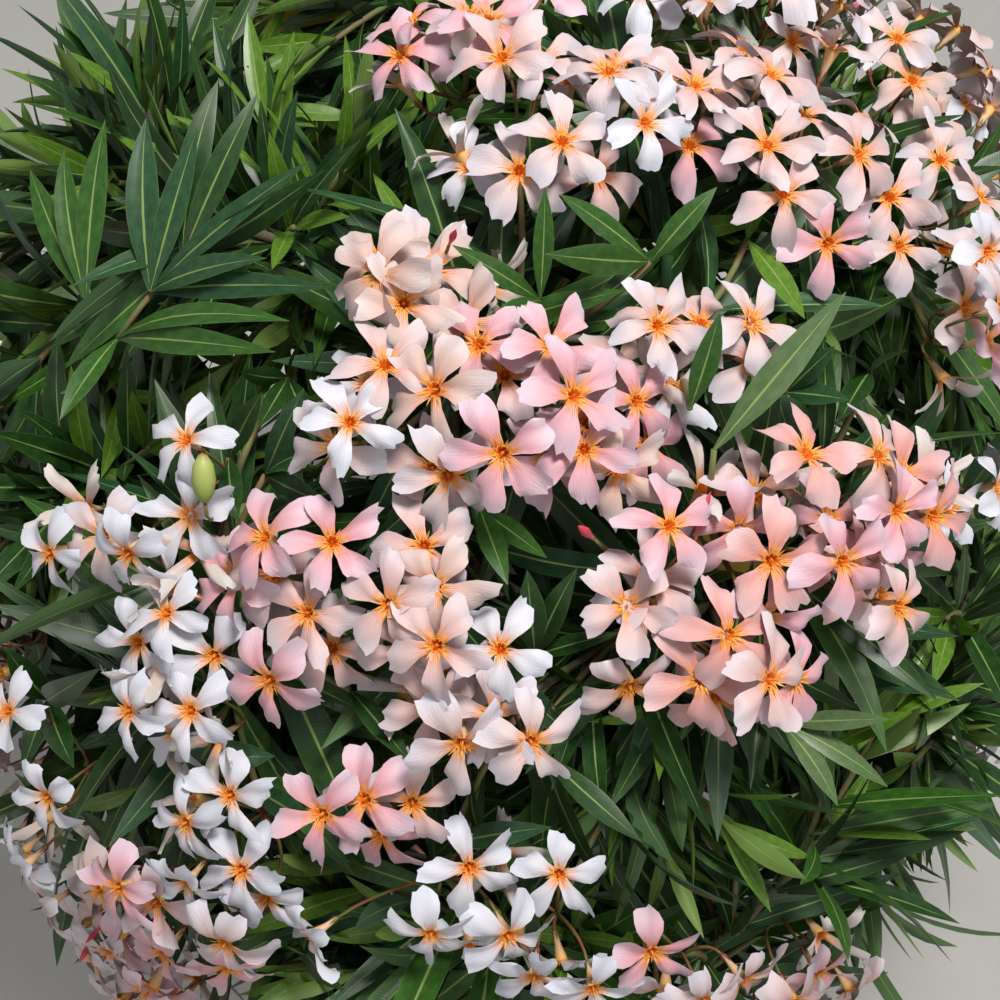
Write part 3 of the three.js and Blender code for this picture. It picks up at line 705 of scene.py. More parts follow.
def with_room(tips, others, direction, spacing, other_spacing):
    """True if no tip lies nearer a direction's place on the crown than the two spacings allow."""
    place = crown_point(direction)
    for group, least in ((tips, spacing), (others, other_spacing)):
        if group and np.min(np.linalg.norm(crown_point(np.array(group)) - place, axis=-1)) < least:
            return False
    return True


def seen_at(pixels, above):
    """Where pixels of the photograph fall on the crown, some height above its outline. With the crown
    scaled to a unit ball the sight line o + t d meets it at the nearer root of |o + t d| = 1."""
    pixels = np.asarray(pixels, float)
    off = (pixels - PHOTO_WIDTH / 2) * VIEW_WIDTH / VIEW_DISTANCE / PHOTO_WIDTH
    sight = off[:, :1] * (1, 0, 0) - off[:, 1:] * VIEW_UP - VIEW_BACK
    eye = VIEW_TARGET + VIEW_DISTANCE * VIEW_BACK
    start = (eye - CROWN_MIDDLE) / (CROWN_RADII + above)
    step = sight / (CROWN_RADII + above)
    square = np.sum(step * step, axis=-1)
    half = np.sum(start * step, axis=-1)
    root = np.sqrt(np.clip(half * half - square * (start @ start - 1), 0, None))
    return eye + ((-half - root) / square)[:, None] * sight


def ways_to(places):
    """The crown's directions in which places lie, with the crown scaled to a unit ball."""
    return unit((places - CROWN_MIDDLE) / CROWN_RADII)


def fill(ways, heads, others, places, start, rooms, shares, flowers, seed):
    """Adds a direction for each place of a spiral with room for it. A share of them, one high up and one
    low down, gets a flower head in one of the tints, with the least number of flowers and up to so
    many more."""
    least, more = flowers
    for i, way in enumerate(spiral(places, start)):
        if with_room(ways, others, way, *rooms):
            share = shares[int(angle_between(way, UP) >= FLOWERING_TILT)]
            bare = stays_bare(way) or chance(i, seed) >= share
            count = 0 if bare else least + int(more * chance(i, seed + 1))
            ways.append(way)
            heads.append((count, OTHER_TINTS[int(len(OTHER_TINTS) * chance(i, seed + 2))]))


main_ways = [towards(bearing, tilt) for bearing, tilt, _, _ in MAIN_HEADS]
side_ways = [ways_to(seen_at(flowers, 0).mean(axis=0)) for _, flowers in SIDE_HEADS]
main_heads = [(len(flowers), tint) for _, _, tint, flowers in MAIN_HEADS]
side_heads = [(len(flowers), tint) for tint, flowers in SIDE_HEADS]
fill(main_ways, main_heads, side_ways, TIP_PLACES, 0.0, (TIP_SPACING, TIP_ROOM),
     (FLOWERING_SHARE, FLOWERING_SHARE_BELOW), (5, 4), 7)
seen_shoots = len(side_ways) + np.arange(len(SEEN_WHORLS))
seen_feet = np.concatenate([seen_at([foot], above - SEEN_LEAF_RISE) for foot, above, _, _ in SEEN_WHORLS])
side_ways += list(ways_to(seen_feet))
side_heads += [(0, "pale")] * len(SEEN_WHORLS)
fill(side_ways, side_heads, main_ways, SIDE_PLACES, SIDE_START, (SIDE_SPACING, SIDE_ROOM),
     (SIDE_FLOWERING, SIDE_FLOWERING), (3, 3), 12)

# Shorter shoots deeper inside, which the photograph looks down on between the heads
first_inner = len(side_ways)
for way in spiral(INNER_PLACES, INNER_START):
    if within(way, *VIEW_MIDDLE, INNER_SPREAD) or within(way, *LEAFY_SECTORS[0]):
        side_ways.append(way)
        side_heads.append((0, "pale"))

# The masses' middles: three round the top on the middle bough, one upper and two lower on each other
mass_names = [f"foliage_top_{i + 1}" for i in range(3)]
mass_boughs = [0, 0, 0]
mass_ways = [towards(-90 + 120 * i, TOP_TILT) for i in range(3)]
for i in range(OUTER_BOUGHS):
    bearing = bough_bearings[i + 1]
    mass_names += [f"foliage_upper_{i + 1}", f"foliage_lower_{2 * i + 1}", f"foliage_lower_{2 * i + 2}"]
    mass_boughs += [i + 1] * 3
    mass_ways += [towards(bearing, UPPER_TILT), towards(bearing - LOWER_SPREAD, LOWER_TILT),
                  towards(bearing + LOWER_SPREAD, LOWER_TILT)]
mass_ways = np.array(mass_ways)
hubs = crown_point(mass_ways, HUB_DEPTH)


def grow(root, way, tip, bend, radii, end):
    """Adds a shoot that leaves a root in a direction and bends to its tip."""
    shoot_curves.append(reach(root, way, tip, bend))
    shoot_radii.append(radii)
    shoot_ends.append(end)


def tip_places(ways, heads, seed):
    """Tips a little inside the crown's outline, at uneven depths. A leafy shoot beside a flower head
    ends lower, so that the flowers stand over its leaves."""
    depth = TIP_DEPTH + TIP_UNEVEN * (chance(np.arange(len(ways)) + seed, 4) - 0.5)
    to_heads = np.linalg.norm(crown_point(ways)[:, None] - crown_point(flowering_ways)[None], axis=-1)
    leafy = np.array([flowers == 0 for flowers, _ in heads])
    depth += SUNK_BESIDE_HEADS * (leafy & (to_heads.min(axis=1) < HEAD_ROOM))
    return crown_point(ways) - ways * depth[:, None]


main_ways, side_ways = np.array(main_ways), np.array(side_ways)
flowering_ways = np.array([way for way, (flowers, _) in zip([*main_ways, *side_ways], main_heads + side_heads)
                           if flowers])
main_tips = tip_places(main_ways, main_heads, 0)
side_tips = tip_places(side_ways, side_heads, 100)
side_tips[seen_shoots] = seen_feet
side_tips[first_inner:] = crown_point(side_ways[first_inner:], INNER_SHARE)
nearest_hub = np.argmin(np.linalg.norm(main_tips[:, None] - hubs[None], axis=-1), axis=1)
shoot_curves, shoot_radii, shoot_ends = [], [], []
for mass, bough in enumerate(mass_boughs):
    own = np.flatnonzero(nearest_hub == mass)
    own = own[np.argsort(angle_between(main_ways[own], mass_ways[mass]))]
    outward = unit(hubs[mass] - bough_tips[bough])
    grow(bough_tips[bough] - 0.004 * outward, outward, main_tips[own[0]], STEM_BEND, STEM_RADII, own[0])
    stem = shoot_curves[-1]
    for tip in own[1:]:
        t = 0.5 + 0.4 * chance(tip, 11)
        grow(on_curve(stem, t), heading(stem, t), main_tips[tip], TWIG_BEND, TWIG_RADII, tip)

# Each side shoot leaves the nearest stem or twig at an easy angle and grows to its own tip
main_curves = np.array(shoot_curves)
root_shares = np.linspace(0.35, 0.9, 12)
root_places = on_curve(main_curves[:, None], root_shares[None])
root_ways = heading(main_curves[:, None], root_shares[None])
for number, tip in enumerate(side_tips):
    away = tip - root_places
    distance = np.linalg.norm(away, axis=-1)
    bending = BENDING_COST * angle_between(away / distance[..., None], root_ways)
    cost = distance + bending + (distance < LEAST_SIDE_SHOOT)
    best = np.unravel_index(np.argmin(cost), cost.shape)
    grow(root_places[best], root_ways[best], tip, TWIG_BEND, SIDE_RADII, number)
shoot_curves, shoot_radii, shoot_ends = (np.array(a) for a in (shoot_curves, shoot_radii, shoot_ends))
is_main = np.arange(len(shoot_curves)) < len(main_curves)


def shoot_material(name, first, second):
    """Fine-grained skin of a shoot or stalk, in two mottled colours."""
    return mottled_material(name, 70.0, 800.0, first, second, 0.7, 0.0003)


for name, chosen, steps, around, material, slot in (
    ("woody_shoots", is_main, 12, 7, shoot_material("shoot_bark", STEM_BROWN, STEM_GREY), "bark"),
    ("green_shoots", ~is_main, 8, 6, shoot_material("shoot_skin", SHOOT_GREEN, SHOOT_RED), "foliage"),
):
    points = limbs(shoot_curves[chosen], shoot_radii[chosen], steps, around)
    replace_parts(new_piece(name, points, like_grids(points), [material], merge=FINE_WELD), *mass_names)


# The flower heads end the flowering shoots. The open flowers of a head lie where the photograph shows
# them, or else on a golden spiral round its middle, and face outwards, with a wilted one or two below.
HEAD_ABOVE = 0.014
FLOWER_SPACING = 0.031
SPIRAL_SHARE = 0.56
HEAD_BOW = 0.16
HEAD_LEAN = 0.088
FLOWER_UNEVEN = 0.009
BUD_RING = (0.006, 0.026)
BUD_LEAN = 0.09
BUD_SUNK = 0.012
CROWDED = 0.042
LEAST_STEP = 0.0085
WILTED_BELOW = 0.014
WILTED_SHARES = (0.45, 0.2)
MOST_BUDS = 2.6

# The tints that the flowers of a head are dealt, by the head's own
TINT_MIX = {
    "white": ("white", "white", "pale", "white"), "pale": ("pale", "blush", "white", "pale"),
    "blush": ("blush", "pale", "pink", "blush"), "peach": ("peach", "pale", "blush", "peach"),
    "pink": ("pink", "blush", "pink", "peach"), "salmon": ("salmon", "pink", "salmon", "blush"),
}
rng = np.random.default_rng(37)


def square_to(vectors, axis):
    """The part of each vector that is square to an axis, made a unit."""
    return unit(vectors - np.sum(vectors * axis, axis=-1, keepdims=True) * axis)


def frames(facing, turn):
    """For each facing, a matrix whose columns are two sides, turned about it, and the facing."""
    first = square_to(np.broadcast_to((0.231, 0.111, 0.001), facing.shape), facing)
    second = np.cross(facing, first)
    side = np.cos(turn)[:, None] * first + np.sin(turn)[:, None] * second
    return np.stack([side, np.cross(facing, side), facing], axis=-1)


def off_middle(way, radius, degrees):
    """A step square to a way: radius (cos a, sin a) along two sides, for an angle a in degrees."""
    turn = np.radians(degrees)
    first = square_to(np.array([0.3, 0.7, 0.2]), way)
    return radius * (np.cos(turn) * first + np.sin(turn) * np.cross(way, first))


every_head = [(main_heads if main else side_heads)[end] for main, end in zip(is_main, shoot_ends)]
ends_in_flower = np.array([flowers > 0 for flowers, _ in every_head])
all_flowers, all_buds = [], []
for shoot in np.flatnonzero(ends_in_flower):
    end = shoot_ends[shoot]
    count, tint = every_head[shoot]
    ways, shown_heads = (main_ways, MAIN_HEADS) if is_main[shoot] else (side_ways, SIDE_HEADS)
    way = ways[end]
    middle = crown_point(way) + HEAD_ABOVE * way
    wilted = sum(int(chance(shoot, 31 + k) < share) for k, share in enumerate(WILTED_SHARES))
    shown = end < len(shown_heads)
    if shown:
        places = seen_at(shown_heads[end][-1], HEAD_ABOVE)
        middle = places.mean(axis=0)
    for k in range(count + wilted):
        radius = SPIRAL_SHARE * FLOWER_SPACING * np.sqrt(k + 0.35 if k < count else 0.6 * count)
        offset = off_middle(way, radius, GOLDEN_ANGLE * k + 360 * chance(shoot, 33))
        place = middle + offset - way * radius ** 2 / HEAD_BOW
        if shown and k < count:
            place = places[k]
            offset = place - middle
        facing = unit(way + offset / HEAD_LEAN + rng.normal(0, 0.15, 3))
        own_tint = "faded" if k >= count else TINT_MIX[tint][int(4 * chance(shoot, 61 + k))]
        all_flowers.append((place, facing, own_tint, shoot_curves[shoot, 2], way))
    for k in range(0 if shown else int(MOST_BUDS * chance(shoot, 34))):
        radius = BUD_RING[0] + BUD_RING[1] * np.sqrt(chance(shoot, 35 + k))
        offset = off_middle(way, radius, 360 * chance(shoot, 45 + k))
        place = middle + offset + way * (0.010 * chance(shoot, 55 + k) - BUD_SUNK)
        facing = unit(way + offset / BUD_LEAN + rng.normal(0, 0.22, 3))
        all_buds.append((place, facing, shoot_curves[shoot, 2]))


def nearest_foot(place):
    """The tip of the flowering shoot that is nearest to a place."""
    head_feet = shoot_curves[ends_in_flower, 2]
    return head_feet[np.argmin(np.linalg.norm(head_feet - place, axis=-1))]


for place in seen_at(SEEN_BUDS, HEAD_ABOVE):
    foot = nearest_foot(place)
    all_buds.append((place, unit(unit(place - foot) + rng.normal(0, 0.5, 3)), foot))
bud_places, bud_ways, bud_feet = (np.array(a) for a in zip(*all_buds))
flower_places, flower_ways, flower_tints, flower_feet, head_ways = (np.array(a) for a in zip(*all_flowers))
flower_count = len(flower_places)
is_faded = flower_tints == "faded"

# Flowers that crowd each other are lifted and lowered a little, and the wilted ones hang below
flower_places += head_ways * rng.uniform(-FLOWER_UNEVEN, FLOWER_UNEVEN, (flower_count, 1))
for _ in range(12):
    apart = flower_places[:, None] - flower_places[None]
    height = np.sum(apart * head_ways[:, None], axis=-1)
    crowded = (np.linalg.norm(apart, axis=-1) < CROWDED) & ~np.eye(flower_count, dtype=bool)
    lift = np.where(height >= 0, 1, -1) * np.clip(LEAST_STEP - np.abs(height), 0, None) * crowded
    flower_places += 0.22 * np.clip(lift.sum(axis=1), -0.01, 0.01)[:, None] * head_ways
flower_places -= WILTED_BELOW * is_faded[:, None] * head_ways
flower_ways = unit(flower_ways + is_faded[:, None] * rng.normal(0, 0.5, (flower_count, 3)))
flower_frames = frames(flower_ways, rng.uniform(0, 2 * np.pi, flower_count))
flower_sizes = rng.uniform(0.92, 1.06, flower_count) * np.where(flower_tints == "white", 0.92, 1.0)


# The leaves are lance-shaped, leathery and dark green, with a pale midrib, close side veins and a
# paler underside. They stand in whorls of three, upright and fresh green at the shoot tips, and lean
# out further down.
LEAF_LENGTH = 0.122
LEAF_SLIMNESS = 0.150
LEAF_THICK = 0.0006
LEAF_WIDTHS = (0.0105, 0.0195)
YOUNG_LENGTH = 0.50
LENGTH_GROWTH = 0.13
LENGTHS_VARY = (0.78, 1.12)
WIDTHS_VARY = (0.86, 1.16)
SHOOT_BOW = 1.06
WHORLS = 9
WHORL_GAP = 0.0165
GAPS_VARY = (0.85, 1.25)
BELOW_TIP = 0.004
BELOW_FLOWERS = 0.026
OLDER_BELOW_FLOWERS = 3.5
YOUNG_LEAN = 20
LEAN_GROWTH = 9.5
MOST_LEAN = 68
OUTWARD_PULL = 0.22
DROOP = 0.10
BENDS = (6, 34)
FOLDS = (4, 26)
TWIST_SPREAD = 18
YELLOW_SHARE = 0.010
MAIN_BARE_FOOT = 0.08
SIDE_BARE_FOOT = 0.16
SEEN_SLIMNESS = 0.22
SEEN_WIDTHS = (0.0115, 0.0160)
SEEN_BENDS = (0.25, 0.75)
SEEN_FOLDS = (0.05, 0.30)
LEAF_ROWS = 8
BLADE_COLUMNS = 5
MOST_LEAVES_A_PIECE = 1700
CLEAR_OF_FLOWERS = 0.021
BEHIND_FLOWERS = -0.014
OVER_SEEN = 0.002
HIDING_REACH = 0.07
MIDRIB = (0.27, 0.38, 0.11, 1)

# Each tone of the leaves: the blade, its blotches and the underside
LEAF_TONES = {
    "deep": ((0.009, 0.040, 0.008, 1), (0.019, 0.070, 0.010, 1), (0.055, 0.115, 0.048, 1)),
    "green": ((0.020, 0.076, 0.010, 1), (0.038, 0.118, 0.013, 1), (0.075, 0.150, 0.050, 1)),
    "blue": ((0.012, 0.054, 0.021, 1), (0.024, 0.086, 0.027, 1), (0.062, 0.122, 0.064, 1)),
    "young": ((0.075, 0.175, 0.014, 1), (0.125, 0.240, 0.022, 1), (0.150, 0.250, 0.055, 1)),
    "yellow": ((0.480, 0.300, 0.022, 1), (0.380, 0.330, 0.045, 1), (0.420, 0.330, 0.060, 1)),
    # The pale tone is a lighter green, partly the leaf's own and partly painted highlight: the light and
    # sheen that the leaves given this tone catch.
    "pale": ((0.066, 0.122, 0.042, 1), (0.096, 0.155, 0.058, 1), (0.110, 0.175, 0.080, 1)),
}

# Where the two sides of a blade lie across its map
UPPER_CENTRE = 0.25
UNDER_CENTRE = 0.75
HALF_BLADE = 0.24
SIDE_VEINS = 64
rng = np.random.default_rng(23)


def add_map(piece, corners, count):
    """Gives a piece of many like meshes its map, from where the corners of one mesh's faces lie on it."""
    uv = piece.data.uv_layers.new(name="OFBake")
    uv.data.foreach_set("uv", np.tile(corners.reshape(-1), count).astype(np.float32))


def blades(name, upper, lower, materials):
    """Closed thin blades: an upper and a lower grid that share their margin, which is marked sharp. The
    map holds the upper sides in its left half and the lower sides in its right half, each blade with
    across as u and along as v."""
    count, rows, columns = upper.shape[:3]
    top = np.arange(rows * columns).reshape(rows, columns)
    under = top.copy()
    under[1:-1, 1:-1] = rows * columns + np.arange((rows - 2) * (columns - 2)).reshape(rows - 2, columns - 2)
    corners = grid_faces(rows, columns, ring=False)
    stride = rows * columns + (rows - 2) * (columns - 2)
    one = np.concatenate([np.flip(top.ravel()[corners], axis=1), under.ravel()[corners]])
    points = np.concatenate([upper.reshape(count, -1, 3), lower[:, 1:-1, 1:-1].reshape(count, -1, 3)], axis=1)
    piece = new_piece(name, points, repeated(one, count, stride), materials)
    mesh = piece.data
    across = np.tile(np.linspace(-1, 1, columns), rows)
    along = np.repeat(np.linspace(0, 1, rows), columns)
    over = np.stack([UPPER_CENTRE + HALF_BLADE * across, along], axis=-1)[np.flip(corners, axis=1)]
    below = np.stack([UNDER_CENTRE + HALF_BLADE * across, along], axis=-1)[corners]
    add_map(piece, np.concatenate([over, below]), count)
    side = np.repeat([0, 1], len(corners)).astype(np.int32)
    mesh.polygons.foreach_set("material_index", np.tile(side, count))
    on_margin = np.ones(stride, bool)
    on_margin[top[1:-1, 1:-1]] = False
    on_margin[rows * columns:] = False
    ends = np.empty(len(mesh.edges) * 2, np.int32)
    mesh.edges.foreach_get("vertices", ends)
    sharp = on_margin[ends.reshape(-1, 2) % stride].all(axis=1)
    mesh.attributes.new("sharp_edge", "BOOLEAN", "EDGE").data.foreach_set("value", sharp)
    return piece


def across_blade(group, vector, centre):
    """The share across a blade from its midrib, -1 to 1, and the share along it, from its map."""
    split = add_node(group, "SeparateXYZ", {0: vector})
    shifted = arithmetic(group, "SUBTRACT", split.outputs["X"], centre)
    return arithmetic(group, "DIVIDE", shifted, HALF_BLADE), split.outputs["Y"]


def leaf_group():
    """The blade's colour and height: a pale midrib that narrows to the tip, fine side veins that slant
    forward from it, a thin pale margin and soft blotches."""
    group, given = new_group("leaf_blade", Vector="Vector", Centre="Float", Blade="Color", Blotch="Color",
                             Vein="Color", Strength="Float")
    across, along = across_blade(group, given["Vector"], given["Centre"])
    off = arithmetic(group, "ABSOLUTE", across)
    width = ranged(group, along, 0.0, 1.0, 0.13, 0.04)
    midrib = ranged(group, arithmetic(group, "DIVIDE", off, width), 0.5, 1.1, 1.0, 0.0)
    slant = arithmetic(group, "MULTIPLY_ADD", off, -0.04, along)
    wave = arithmetic(group, "SINE", arithmetic(group, "MULTIPLY", slant, 2 * np.pi * SIDE_VEINS))
    vein = ranged(group, wave, 0.4, 1.0, 0.0, 0.055)
    margin = ranged(group, off, 0.94, 1.0, 0.0, 0.35)
    place = add_node(group, "Mapping", {"Vector": given["Vector"], "Scale": (9, 14, 1)})
    blotch = ranged(group, noise(group, place.outputs["Vector"], 1.0, 3.0), 0.35, 0.7)
    colour = blend_colours(group, blotch, given["Blade"], given["Blotch"])
    lines = arithmetic(group, "MAXIMUM", midrib, arithmetic(group, "MAXIMUM", vein, margin))
    lines = arithmetic(group, "MULTIPLY", lines, given["Strength"])
    colour = blend_colours(group, lines, colour, given["Vein"])
    return end_group(group, colour, arithmetic(group, "SUBTRACT", vein, midrib))


leaf_blade = leaf_group()


def blade_material(name, group, roughness, relief, strength, **inputs):
    """A material whose colour and relief come from a group that reads the blade's map."""
    material, tree, shader = new_material(name, Roughness=roughness)
    flat = add_node(tree, "UVMap", uv_map="OFBake").outputs["UV"]
    base = add_node(tree, "Group", {"Vector": flat, **inputs}, node_tree=group)
    tree.links.new(base.outputs["Color"], shader.inputs["Base Color"])
    add_bump(tree, shader, base.outputs["Height"], relief, strength)
    return material


def leaf_materials(tone):
    """A glossy upper side and a paler, duller underside, for one green."""
    blade, blotch, under = LEAF_TONES[tone]
    sides = (("leaf", UPPER_CENTRE, blade, blotch, 0.36, 0.8),
             ("underleaf", UNDER_CENTRE, under, under, 0.60, 0.6))
    return [blade_material(f"{side}_{tone}", leaf_blade, roughness, 0.0005, 0.6, Centre=centre, Blade=first,
                           Blotch=second, Vein=MIDRIB, Strength=veins)
            for side, centre, first, second, roughness, veins in sides]


def rotated(a, b, angle):
    """A pair of coordinates turned by an angle: a cos - b sin, and a sin + b cos."""
    return a * np.cos(angle) - b * np.sin(angle), a * np.sin(angle) + b * np.cos(angle)


def leaf_blades(root, way, upward, length, width, bend, fold, twist):
    """Upper and lower grids of leaves. The middle line is an arc of the bend angle, x = L sin(bs)/b and
    z = -L(1-cos(bs))/b. Half the width is that of sin(pi s), drawn in to a stalk at the root, and each
    half is folded up by the fold angle and turned about the middle line by twist times s."""
    s = np.linspace(0, 1, LEAF_ROWS)[None, :, None]
    v = np.linspace(-1, 1, BLADE_COLUMNS)[None, None, :]
    side = np.cross(upward, way)
    length, width, bend, fold, twist = (a[:, None, None] for a in (length, width, bend, fold, twist))
    body = np.sin(np.pi * np.clip((s - 0.03) / 0.97, 0, 1) ** 0.95) ** 0.9
    half = width / 2 * np.maximum(body, 0.012 + 0.075 * (s < 0.1))
    x = length * np.sin(bend * s) / bend
    z = -length * (1 - np.cos(bend * s)) / bend
    across = v * half * np.cos(fold)
    raised = np.abs(v) ** 1.4 * half * np.sin(fold) - 0.12 * v ** 4 * half
    y, rise = rotated(across, raised, twist * s)
    x = x + rise * np.sin(bend * s)
    z = z + rise * np.cos(bend * s)
    x, y, z = (a[..., None] for a in np.broadcast_arrays(x, y, z))
    way, side, upward = way[:, None, None], side[:, None, None], upward[:, None, None]
    upper = root[:, None, None] + x * way + y * side + z * upward
    lower = upper - LEAF_THICK * (1 - v[..., None] ** 2) * upward
    return upper, lower


def hides(points, places, facings, clear, lowest):
    """True for each blade whose middle line passes in front of a place, seen along its facing."""
    away = points[:, 1:, None, BLADE_COLUMNS // 2] - places
    above = np.sum(away * facings, axis=-1)
    beside = np.linalg.norm(away - above[..., None] * facings, axis=-1)
    return ((beside < clear) & (above > lowest) & (above < HIDING_REACH)).any(axis=(1, 2))


shoot_count = len(shoot_curves)
shoot_lengths = SHOOT_BOW * np.linalg.norm(shoot_curves[:, 2] - shoot_curves[:, 0], axis=-1)
whorl = np.arange(WHORLS)
spacing = WHORL_GAP * rng.uniform(*GAPS_VARY, (shoot_count, 1))
highest = np.where(ends_in_flower, BELOW_FLOWERS, BELOW_TIP)[:, None]
share = 1 - (highest + spacing * whorl * (1 + 0.05 * whorl)) / shoot_lengths[:, None]
age = (whorl + np.where(ends_in_flower, OLDER_BELOW_FLOWERS, 0)[:, None])[..., None]
axis = heading(shoot_curves[:, None], share)[:, :, None]
level = square_to(np.broadcast_to((0.31, 0.22, 0.9), axis.shape), axis)
other = np.cross(axis, level)
shape = (shoot_count, WHORLS, 3)
turn = np.radians(120 * np.arange(3) + 60 * whorl[:, None] + rng.uniform(0, 360, (shoot_count, 1, 1))
                  + rng.uniform(-16, 16, shape))
lean = np.radians(np.clip(YOUNG_LEAN + LEAN_GROWTH * age, 0, MOST_LEAN) + rng.uniform(-9, 9, shape))
around = np.cos(turn)[..., None] * level + np.sin(turn)[..., None] * other
root = on_curve(shoot_curves[:, None], share)[:, :, None] + 0.0012 * around
outward = unit(root - CROWN_MIDDLE)
way = np.cos(lean)[..., None] * axis + np.sin(lean)[..., None] * around
way = unit(way + OUTWARD_PULL * outward - DROOP * UP * (age > 3)[..., None])
upward = square_to(np.sin(lean)[..., None] * axis - np.cos(lean)[..., None] * around + 0.8 * outward
                   + rng.normal(0, 0.16, shape + (3,)), way)
leaf_length = LEAF_LENGTH * np.clip(YOUNG_LENGTH + LENGTH_GROWTH * age, 0, 1)
leaf_length = leaf_length * rng.uniform(*LENGTHS_VARY, shape)
leaf_width = np.clip(leaf_length * LEAF_SLIMNESS, *LEAF_WIDTHS) * rng.uniform(*WIDTHS_VARY, shape)
bend = np.radians(rng.uniform(*BENDS, shape) + 2 * age)
fold = np.radians(rng.uniform(*FOLDS, shape))
twist = np.radians(rng.normal(0, TWIST_SPREAD, shape))

# Each shoot has one green, fresher at its tip, and an old leaf here and there has turned yellow. The
# tones are numbered in the order in which they are listed above.
DEEP, GREEN, BLUE, YOUNG, YELLOW = range(5)
by_spray = chance(np.arange(shoot_count), 21)[:, None, None]
tone = np.where(by_spray < 0.45, DEEP, np.where(by_spray < 0.76, GREEN, BLUE)) + np.zeros(shape, int)
young = (age < np.where(by_spray > 0.5, 2, 1)) & ~ends_in_flower[:, None, None]
tone = np.where(young, YOUNG, tone)
tone = np.where((rng.uniform(0, 1, shape) < YELLOW_SHARE) & (age > 3), YELLOW, tone)

# No leaves at a shoot's foot, in place of a shown leaf, or far down the inner shoots
bare_foot = np.where(is_main, MAIN_BARE_FOOT, SIDE_BARE_FOOT)[:, None]
kept = np.broadcast_to((share > bare_foot)[..., None], shape).copy()
kept[np.isin(shoot_ends, seen_shoots) & ~is_main, :2] = False
kept[(shoot_ends >= first_inner) & ~is_main, 5:] = False
ordinary = [a[kept] for a in (root, way, upward, leaf_length, leaf_width, bend, fold, twist)]
tone = tone[kept]

# The leaves that the photograph shows run from their shoot's tip to their own, in an arc that bends by
# b, so that the leaf sets out b/2 above its chord c and is c (b/2) / sin(b/2) long
seen_roots = np.array([foot for foot, (_, _, _, tips) in zip(seen_feet, SEEN_WHORLS) for _ in tips])
seen_tips = np.concatenate([seen_at(tips, above) for _, above, _, tips in SEEN_WHORLS])
chord = np.linalg.norm(seen_tips - seen_roots, axis=-1)
straight = (seen_tips - seen_roots) / chord[:, None]
seen_up = square_to(VIEW_BACK + 0.5 * UP + rng.normal(0, 0.34, straight.shape), straight)
seen_bend = rng.uniform(*SEEN_BENDS, len(chord))
seen_way = np.cos(seen_bend / 2)[:, None] * straight + np.sin(seen_bend / 2)[:, None] * seen_up
seen_up = square_to(seen_up, seen_way)
seen_length = chord * (seen_bend / 2) / np.sin(seen_bend / 2)
seen_width = np.clip(SEEN_SLIMNESS * seen_length, *SEEN_WIDTHS) * rng.uniform(0.85, 1.15, len(chord))
seen_fold = rng.uniform(*SEEN_FOLDS, len(chord))
seen_twist = rng.normal(0, 0.35, len(chord))
seen = [seen_roots, seen_way, seen_up, seen_length, seen_width, seen_bend, seen_fold, seen_twist]
seen_lines = leaf_blades(*seen)[0][:, 2:, BLADE_COLUMNS // 2].reshape(-1, 3)
seen_sights = unit(VIEW_TARGET + VIEW_DISTANCE * VIEW_BACK - seen_lines)
every_leaf = [np.concatenate(pair) for pair in zip(ordinary, seen)]
seen_tones = [list(LEAF_TONES).index(name) for _, _, name, tips in SEEN_WHORLS for _ in tips]
tone = np.concatenate([tone, seen_tones])
is_seen = np.arange(len(tone)) >= len(ordinary[0])

# A leaf that would hide an open flower, or one of the leaves that the photograph shows, is left out
open_flowers = ~is_faded
open_places, open_ways = flower_places[open_flowers], flower_ways[open_flowers]
for number, name in enumerate(LEAF_TONES):
    chosen = tone == number
    upper, lower = leaf_blades(*(a[chosen] for a in every_leaf))
    in_front = hides(upper, open_places, open_ways, CLEAR_OF_FLOWERS, BEHIND_FLOWERS)
    in_front |= hides(upper, seen_lines, seen_sights, SEEN_CLEAR, OVER_SEEN)
    clear = ~in_front | is_seen[chosen]
    upper, lower = upper[clear], lower[clear]
    materials = leaf_materials(name)
    for part in range(0, len(upper), MOST_LEAVES_A_PIECE):
        some = slice(part, part + MOST_LEAVES_A_PIECE)
        label = f"leaves_{name}_{part // MOST_LEAVES_A_PIECE + 1}"
        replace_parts(blades(label, upper[some], lower[some], materials), *mass_names)


# The flowers have five petals on a funnel. The petals widen to an oblique, slightly ragged end and
# turn a little like a pinwheel. Fine orange rays run out from the yellow throat, and each flower
# hangs on a thin stalk with a small reddish calyx. Heads also hold pointed buds and wilted flowers.
PETALS = 5
FLOWER_RADIUS = 0.0252
THROAT_RADIUS = 0.0033
PETAL_WIDTH = 0.0156
PETAL_FOOT = 0.0046
PETAL_ROWS = 6
PETAL_COLUMNS = 7
PETAL_THICK = 0.0004
PETAL_LENGTHS = (0.92, 1.08)
PETAL_WIDTHS = (0.78, 1.10)
NARROWER_ENDS = (0.04, 0.26)
OBLIQUE = (0.02, 0.24)
ROUNDED = (0.02, 0.16)
RAGGED = 0.045
PINWHEEL = (0.04, 0.16)
HOLLOWS = (-0.40, 0.40)
TWISTS = (0, 34)
CURLS = (-0.35, 1.1)
OPEN_LIFTS = (0.26, 0.62)
OPEN_REFLEXES = (0.33, 0.66)
PETAL_RAYS = 3.6
TUBE_LENGTH = 0.0172
STALK_RADII = (0.0011, 0.0009)
POD_ABOVE = 0.024

